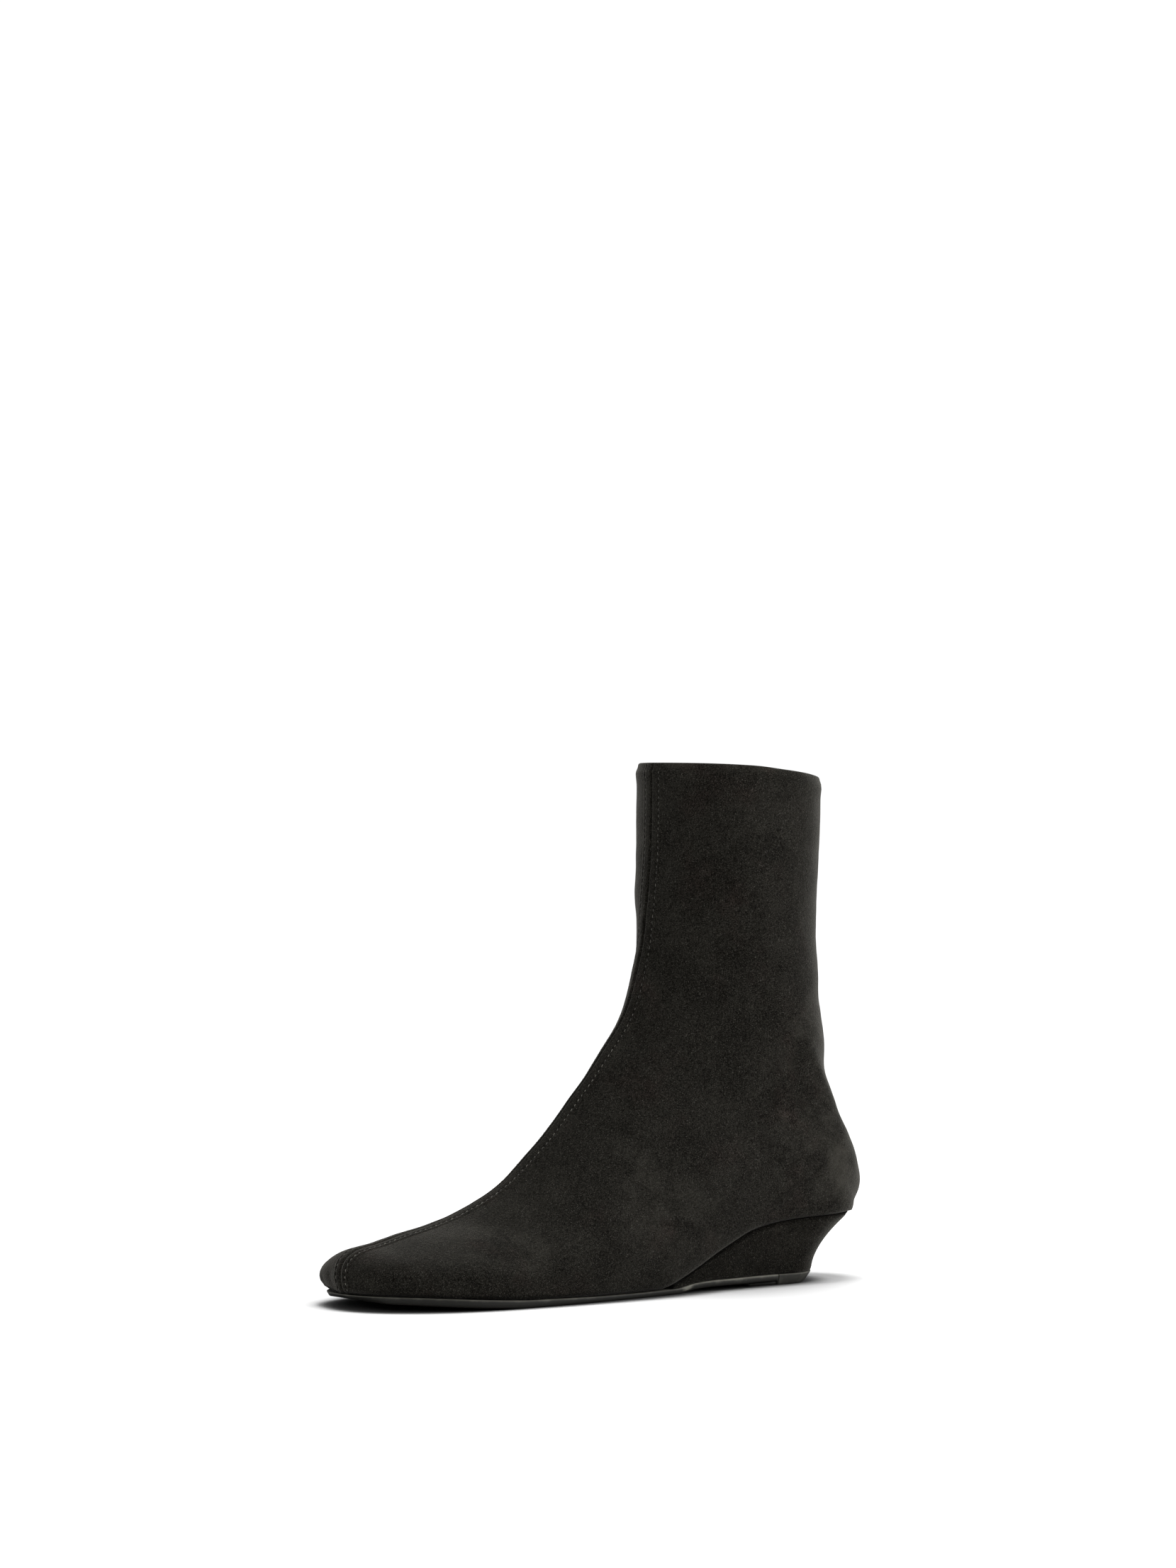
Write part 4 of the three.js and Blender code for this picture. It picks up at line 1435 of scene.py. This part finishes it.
def plate_mesh(layers: list[Layer], fill: int = 10) -> tuple[Array, Faces]:
    """Closed plate whose layers each hold a left edge, a right edge and a height along the boot.

    Args:
        layers: The layers, from top to bottom.
        fill: Number of strips across the top and bottom faces.

    Returns:
        Its points in the maker's millimetres and its faces.
    """
    count = len(layers[0][0])
    points: list[Array] = []
    loops: list[list[int]] = []
    for left, right, height in layers:
        ring = np.concatenate([left, right[::-1]])
        start = len(points)
        points.extend(np.column_stack([ring, height(ring[:, 0])]))
        loops.append(list(range(start, start + len(ring))))
    faces: Faces = []
    for upper, lower in zip(loops, loops[1:]):
        for i in range(len(upper)):
            j = (i + 1) % len(upper)
            faces.append((upper[i], lower[i], lower[j], upper[j]))
    for loop, (_, _, height), flip in ((loops[0], layers[0], False), (loops[-1], layers[-1], True)):
        previous = loop[:count]
        for k in range(1, fill + 1):
            if k == fill:
                current = loop[count:][::-1]
            else:
                current = []
                for i in range(count):
                    a, b = points[loop[i]], points[loop[2 * count - 1 - i]]
                    spot = a + (b - a) * (k / fill)
                    spot[2] = float(height(np.array([spot[0]]))[0])
                    current.append(len(points))
                    points.append(spot)
            for i in range(count - 1):
                quad = (previous[i], previous[i + 1], current[i + 1], current[i])
                faces.append(quad[::-1] if flip else quad)
            previous = current
    return np.array(points), faces


@dataclass
class Heel:
    """The covered wedge and the top lift under it."""

    last: Last
    place: Placement
    rows: int = 120
    depths: int = 34
    hollow: float = 1.8
    cover_inset: float = 0.1
    top_round: float = 0.85
    top_reach: float = 0.05
    edge_round: float = 0.45
    edge_reach: float = 0.03
    nap: float = -0.05
    # A lighter band painted round the back of the wedge.
    rear_lighter_band: float = 0.2
    rear_level: float = 22.0
    rear_width: float = 7.0
    rear_until: float = 60.0
    # Painted shade along the wedge's top edge, under the upper.
    top_painted_shade: float = 0.5
    top_shade_fade: Span = (0.4, 2.2)
    lift_rows: int = 70
    lift_rake: float = 4.0
    lift_profile: tuple[Span, ...] = (
        (0.0, 0.55), (0.06, 0.2), (0.14, 0.1), (0.5, 0.1), (0.82, 0.12), (0.94, 0.3), (1.0, 0.6),
    )
    tongue: float = 0.058
    tongue_back: float = 8.0
    tongue_rows: int = 16
    tongue_inset: float = 5.0
    tongue_profile: tuple[Span, ...] = ((0.3, 1.0), (0.0, 0.8), (0.0, 0.25), (0.35, 0.0))
    wear_and_painted_light: float = 0.16
    # Painted highlight along the lift's top edge, and painted shade on the tongue under the strip.
    edge_highlight: float = 0.3
    rim_width: float = 0.35
    tongue_painted_shade: float = 0.3

    def build(self, suede: Material, rubber: Material) -> None:
        """Builds the wedge's cover and the top lift.

        Args:
            suede: Finish of the wedge.
            rubber: Finish of the lift.
        """
        self._cover(suede)
        self._lift(rubber)

    def _drawn(self, draw: float, inset: float, reach: float, rows: int) -> tuple[Array, Array]:
        """Outline of the bed under the heel, drawn in towards the front.

        Args:
            draw: Distance by which the heel corner moves to the front.
            inset: Distance that the outline is moved in.
            reach: Place along the boot where it starts.
            rows: Number of steps.

        Returns:
            The left and the right edge, as rows of x and y.
        """
        last = self.last
        edges = []
        for plan in last.outline(inset, rows, last.under_at(reach), 1.0):
            x, y = plan[:, 0], plan[:, 1]
            narrowed = last.narrowed(x, draw / last.wedge_undercut)
            edges.append(np.column_stack([x + draw * last.behind_pivot(x), y * narrowed]))
        return edges[0], edges[1]

    def _floor(self, x: Array) -> Array:
        """Height of the wedge's underside at x."""
        last = self.last
        return np.maximum(last.sole_top(x), np.where(x < last.strip_end, last.lift_thickness, 0)) + last.gap

    def _cover(self, suede: Material) -> None:
        """Builds the suede-covered wedge with rounded edges.

        Args:
            suede: Its finish.
        """
        last = self.last
        layers = []
        for k in range(self.depths + 1):
            depth = k / self.depths
            draw = last.wedge_undercut * (1 - (1 - depth) ** self.hollow)
            inset = self.cover_inset + self.top_round * bell(depth, 0.0, self.top_reach)
            inset += self.edge_round * bell(depth, 1.0, self.edge_reach)

            def height(x: Array, depth: float = depth) -> Array:
                """Height of the layer at x."""
                return (last.bed(x) - last.gap) * (1 - depth) + self._floor(x) * depth

            left, right = self._drawn(draw, float(inset), last.wedge_reach, self.rows)
            layers.append((left, right, height))
        points, faces = plate_mesh(layers)
        piece = mesh_piece("wedge_cover", self.place.metres(points), faces, suede)
        below = last.bed(points[:, 0]) - points[:, 2]
        rear = bell(points[:, 2], self.rear_level, self.rear_width) * (points[:, 0] < self.rear_until)
        # Painted shade along the top edge under the upper, and a lighter band round the back.
        nap = self.rear_lighter_band * rear - self.top_painted_shade * fade(below, *self.top_shade_fade)
        add_values(piece, "nap", nap + self.nap)
        clean_piece(piece)
        register(piece, Slot.DARK_SUEDE, ("wedge",))

    def _lift(self, rubber: Material) -> None:
        """Builds the top lift with its bevelled edge and its thin tongue under the strip.

        Args:
            rubber: Its finish.
        """
        last = self.last
        layers = []
        for depth, inset in self.lift_profile:
            draw = last.wedge_undercut + self.lift_rake * depth
            share = draw / (last.wedge_pivot - last.heel_corner)
            reach = (last.strip_end - last.gap - share * last.wedge_pivot) / (1 - share)
            left, right = self._drawn(draw, inset, reach, self.lift_rows)
            high = last.lift_thickness * (1 - depth)
            layers.append((left, right, lambda x, high=high: np.full_like(x, high)))
        points, faces = plate_mesh(layers)
        front = last.under_at(last.strip_end + self.tongue * last.length)
        back = last.under_at(last.strip_end - self.tongue_back)
        layers = []
        for inset, share in self.tongue_profile:
            left, right = last.outline(self.tongue_inset + inset, self.tongue_rows, front, back)
            layers.append((left, right, lambda x, share=share: (last.underside(x) - last.gap) * share))
        more, more_faces = plate_mesh(layers)
        faces += [tuple(i + len(points) for i in face) for face in more_faces]
        points = np.concatenate([points, more])
        piece = mesh_piece("heel_lift", self.place.metres(points), faces, rubber)
        behind = points[:, 0] < last.strip_end
        # Painted highlight on the top edge and painted shade on the tongue, added to the lift's lighter base
        # tone.
        rim_highlight = self.edge_highlight * bell(points[:, 2], last.lift_thickness, self.rim_width) * behind
        add_values(piece, "wear_and_painted_light", self.wear_and_painted_light + rim_highlight - self.tongue_painted_shade * ~behind)
        clean_piece(piece)
        register(piece, Slot.RUBBER, ("top_lift",))


@dataclass
class Sole:
    """The outsole with its waist strip, and the sock on the insole."""

    last: Last
    place: Placement
    rows: int = 260
    insole_thickness: float = 2.4
    strip_cut: float = 0.8
    toe_from: float = 0.955
    toe_thinning: float = 0.5
    # Painted highlight along the outsole's upper edge.
    edge_highlight: Span = (0.5, 0.09)
    rim_share: float = 0.97
    # An abraded spot where the strip begins, with a painted glint.
    worn_glint_place: float = 0.413
    worn_glint_reach: float = 2.6
    strip_fade: Span = (0.37, 0.41)
    strip_wear: float = 0.08
    # The strip is lighter towards its top, and the sole darker towards its bottom.
    strip_top_lighter: float = 0.2
    strip_top: Span = (0.5, 0.95)
    side_fade: Span = (0.1, 0.6)
    bottom_darkening: float = 0.2
    under_fade: Span = (0.0, 0.75)
    profile: tuple[Point, ...] = (
        (1.0, 0.5, 0.0), (0.97, 0.15, 0.0), (0.9, 0.0, 0.0), (0.7, -0.05, 0.2), (0.45, 0.0, 0.7),
        (0.2, 0.15, 1.5), (0.06, 0.45, 2.3), (0.0, 0.9, 3.2),
    )
    insole_profile: tuple[Span, ...] = ((1.0, 2.0), (0.98, 1.2), (0.85, 0.8), (0.4, 0.3), (0.0, 0.1))
    insole_strips: int = 16
    dish: float = 0.6
    dish_width: float = 0.55
    dish_from: float = 0.95
    dish_least: float = 4.0

    def build(self, rubber: Material, lining: Material) -> None:
        """Builds the outsole and the insole.

        Args:
            rubber: Finish of the outsole.
            lining: Finish of the sock.
        """
        self._outsole(rubber)
        self._insole(lining)

    def _outsole(self, rubber: Material) -> None:
        """Builds the outsole with a skived upper edge, a rounded lower one and a thin toe.

        Args:
            rubber: Its finish.
        """
        last = self.last
        end = last.under_at(last.strip_end + self.strip_cut)
        layers = []
        for share, inset, toe_inset in self.profile:
            outer = last.outline(inset, self.rows, 0.0, end)
            inner = last.outline(inset + toe_inset, self.rows, 0.0, end)
            edges = []
            for edge, deep in zip(outer, inner):
                edge = edge + (deep - edge) * self._toe_share(edge[:, :1])
                edge[:, 1] *= last.narrowed(edge[:, 0])
                edges.append(edge)

            def height(x: Array, share: float = share) -> Array:
                """Height of the layer at x."""
                body = last.sole_body(x) * (1 - self.toe_thinning * self._toe_share(x))
                return last.sole_top(x) - body * (1 - share)

            layers.append((edges[0], edges[1], height))
        points, faces = plate_mesh(layers)
        piece = mesh_piece("rubber_outsole", self.place.metres(points), faces, rubber)
        add_values(piece, "wear_and_painted_light", self._wear_and_painted_light(points))
        clean_piece(piece)
        register(piece, Slot.RUBBER, ("outsole",))

    def _wear_and_painted_light(self, points: Array) -> Array:
        """How much lighter the outsole is painted: a painted highlight along its upper edge, an abraded spot
        with a painted glint where the strip begins, lighter abraded rubber on the waist strip and towards its
        top, and darker towards the bottom.

        Args:
            points: Its points in the maker's millimetres.

        Returns:
            The values, 0 for clean rubber and less for darker.
        """
        last, x = self.last, points[:, 0]
        share = (points[:, 2] - last.underside(x)) / last.sole_body(x)
        rim_highlight, width = self.edge_highlight
        strip = fade(x, self.strip_fade[0] * last.length, self.strip_fade[1] * last.length)
        # An abraded spot with a painted glint, and lighter abraded rubber on the strip.
        lightening = bell(x, self.worn_glint_place * last.length, self.worn_glint_reach) + self.strip_wear * strip
        lightening += self.strip_top_lighter * strip * smooth_step(share, *self.strip_top)
        # Painted highlight along the upper edge; the sole darkens towards the bottom.
        lightening = rim_highlight * bell(share, self.rim_share, width) + lightening * smooth_step(share, *self.side_fade)
        return lightening - self.bottom_darkening * fade(share, *self.under_fade)

    def _toe_share(self, x: Array) -> Array:
        """Ramp from 0 behind the toe to 1 at its tip."""
        return smooth_step(x, self.toe_from * self.last.length, self.last.toe_tip)

    def _insole(self, lining: Material) -> None:
        """Builds the insole, slightly dished, with a soft upper edge.

        Args:
            lining: Its finish.
        """
        last = self.last
        edge = last.wall + 2 * last.gap
        layers = []
        for share, inset in self.insole_profile:
            left, right = last.outline(edge + inset, self.rows)
            layers.append((left, right, lambda x, share=share: last.bed(x) + self.insole_thickness * share))
        points, faces = plate_mesh(layers, self.insole_strips)
        high = points[:, 2] - last.bed(points[:, 0]) > self.dish_from * self.insole_thickness
        width = np.maximum(last.half_width(points[:, 0], Side.LEFT), self.dish_least)
        points[:, 2] -= self.dish * bell(points[:, 1] / width, 0.0, self.dish_width) * high
        piece = mesh_piece("insole_sock", self.place.metres(points), faces, lining)
        clean_piece(piece)
        register(piece, Slot.LINING, ("insole",))


# Studio


@dataclass
class Studio:
    """Pale floor, soft lights and the photograph's camera."""

    last: Last
    place: Placement
    turn: float = 144.0
    distance: float = 2100.0
    height: float = 208.0
    lens: float = 117.6
    aim_x: float = 134.0
    frame_side: float = 36.0
    view_end: float = 200.0
    aim_up: float = 0.1
    floor_radius: float = 40.0
    floor_rings: int = 24
    floor_spokes: int = 96
    floor_growth: float = 2.5
    floor_grain: float = 3.0
    floor_tones: tuple[Colour, Colour] = (rgb(0.93, 0.93, 0.93), rgb(0.95, 0.95, 0.95))
    floor_roughness: float = 0.9
    # Painted contact shadow on the floor: its colour, reach and ramp.
    painted_contact_shadow: Colour = rgb(0.05, 0.05, 0.049)
    painted_shadow_reach: float = 0.015
    painted_shadow_range: Span = (0.4, 0.86)
    seen: float = 1.05
    sky_range: Span = (-0.05, 0.5)
    fill: float = 0.44
    horizon: float = 0.25
    key_strength: float = 2.35
    key_spread: float = 24.0
    key_from: Point = (-0.24, -0.3, 2.2)
    boxes: tuple[tuple[str, Point, float, float], ...] = (
        ("front_box", (1.9, 1.5, 1.3), 1.6, 16.0), ("back_box", (-1.5, 1.1, 0.7), 1.1, 25.0),
    )

    def build(self) -> None:
        """Builds the floor, the lights, the surroundings and the camera."""
        self._floor()
        self._world()
        self._lights()
        self._camera()

    def _floor(self) -> None:
        """Builds a wide round floor in matt white with a painted contact shadow that darkens it close to the
        boot.
        """
        material, tree, shader = start_material("studio_floor")
        colour = tree.mix(tree.noise(tree.place(), self.floor_grain, 2.0), *self.floor_tones)
        # Painted contact shadow: the floor's colour darkens where the boot is near.
        near = tree.add("ShaderNodeAmbientOcclusion", {"Distance": self.painted_shadow_reach}, samples=8)
        open_sky = tree.ramp(near.outputs["AO"], *self.painted_shadow_range)
        tree.tree.links.new(tree.mix(open_sky, self.painted_contact_shadow, colour), shader.inputs["Base Color"])
        shader.inputs["Roughness"].default_value = self.floor_roughness
        rings, spokes = self.floor_rings, self.floor_spokes
        points = [np.zeros(3)]
        for r in range(1, rings + 1):
            radius = self.floor_radius * (r / rings) ** self.floor_growth
            for i in range(spokes):
                angle = 2 * math.pi * i / spokes
                points.append(np.array([radius * math.cos(angle), radius * math.sin(angle), 0.0]))
        faces: Faces = [(0, 1 + i, 1 + (i + 1) % spokes) for i in range(spokes)]
        for r in range(rings - 1):
            for i in range(spokes):
                a, b = 1 + r * spokes + i, 1 + r * spokes + (i + 1) % spokes
                faces.append((a, a + spokes, b + spokes, b))
        floor = mesh_piece("studio_floor", np.array(points), faces, material)
        log.info("studio_floor: stage")

    def _world(self) -> None:
        """Sets white surroundings that light the boot less than they show, least at the horizon."""
        world = bpy.data.worlds.new("studio_surroundings")
        world.use_nodes = True
        tree = Tree(world.node_tree)
        background = world.node_tree.nodes["Background"]
        background.inputs["Color"].default_value = rgb(1.0, 1.0, 1.0)
        seen = tree.add("ShaderNodeLightPath").outputs["Is Camera Ray"]
        where = tree.add("ShaderNodeTexCoord").outputs["Generated"]
        up = tree.add("ShaderNodeSeparateXYZ", {"Vector": where}).outputs["Z"]
        above = tree.ramp(up, *self.sky_range)
        around = tree.math("MULTIPLY_ADD", above, self.fill * (1 - self.horizon), self.fill * self.horizon)
        strength = tree.math("MULTIPLY_ADD", seen, tree.math("SUBTRACT", self.seen, around), around)
        tree.tree.links.new(strength, background.inputs["Strength"])
        bpy.context.scene.world = world
        bpy.context.scene.view_settings.view_transform = "Standard"

    def _lights(self) -> None:
        """Hangs a soft key light almost overhead and two soft boxes in front and behind."""
        key = bpy.data.lights.new("key_light", "SUN")
        key.energy = self.key_strength
        key.angle = math.radians(self.key_spread)
        self._hang(key, self.key_from)
        for name, spot, size, power in self.boxes:
            box = bpy.data.lights.new(name, "AREA")
            box.shape = "DISK"
            box.size = size
            box.energy = power
            self._hang(box, spot)

    def _hang(self, light: bpy.types.Light, spot: Point) -> None:
        """Places a light so that it shines at the middle of the boot.

        Args:
            light: The light.
            spot: Its place in metres.
        """
        lamp = bpy.data.objects.new(light.name, light)
        lamp.location = spot
        towards = Vector((0.0, 0.0, self.aim_up)) - Vector(spot)
        lamp.rotation_euler = towards.to_track_quat("-Z", "Y").to_euler()
        bpy.context.scene.collection.objects.link(lamp)

    def _camera(self) -> None:
        """Places the camera level at collar height, as in the photograph."""
        angle = math.radians(self.turn)
        out = np.array([math.sin(angle), -math.cos(angle), 0.0])
        aim = np.array([self.aim_x, 0.0, self.height])
        eye = self.place.metres(aim + out * self.distance)
        data = bpy.data.cameras.new("photo_camera")
        data.sensor_fit = "VERTICAL"
        data.sensor_height = self.frame_side
        data.lens = self.lens
        data.clip_end = self.view_end
        camera = bpy.data.objects.new("photo_camera", data)
        camera.location = eye
        camera.rotation_euler = Vector(-out).to_track_quat("-Z", "Y").to_euler()
        bpy.context.scene.collection.objects.link(camera)
        bpy.context.scene.camera = camera


def main() -> None:
    """Builds the boot and the studio, piece by piece."""
    logging.basicConfig(level=logging.INFO, format="%(name)s %(message)s")
    last = Last()
    place = Placement(last)
    effects = SharedEffects()
    black, grey = rgb(0.002, 0.0018, 0.0012), rgb(0.0313, 0.0294, 0.0246)
    suede = SuedeFinish("brushed_suede", black, grey).build(effects)
    black, grey = rgb(0.0018, 0.0016, 0.0011), rgb(0.022, 0.0205, 0.0165)
    dark_suede = SuedeFinish("wedge_suede", black, grey, cloud_size=12.0, sheen=0.15).build(effects)
    rubber = RubberFinish().build(effects)
    thread = ThreadFinish().build(effects)
    lining = LiningFinish().build(effects)
    Upper(last, place).build(suede, lining, thread)
    Heel(last, place).build(dark_suede, rubber)
    Sole(last, place).build(rubber, lining)
    Studio(last, place).build()


if __name__ == "__main__":
    main()
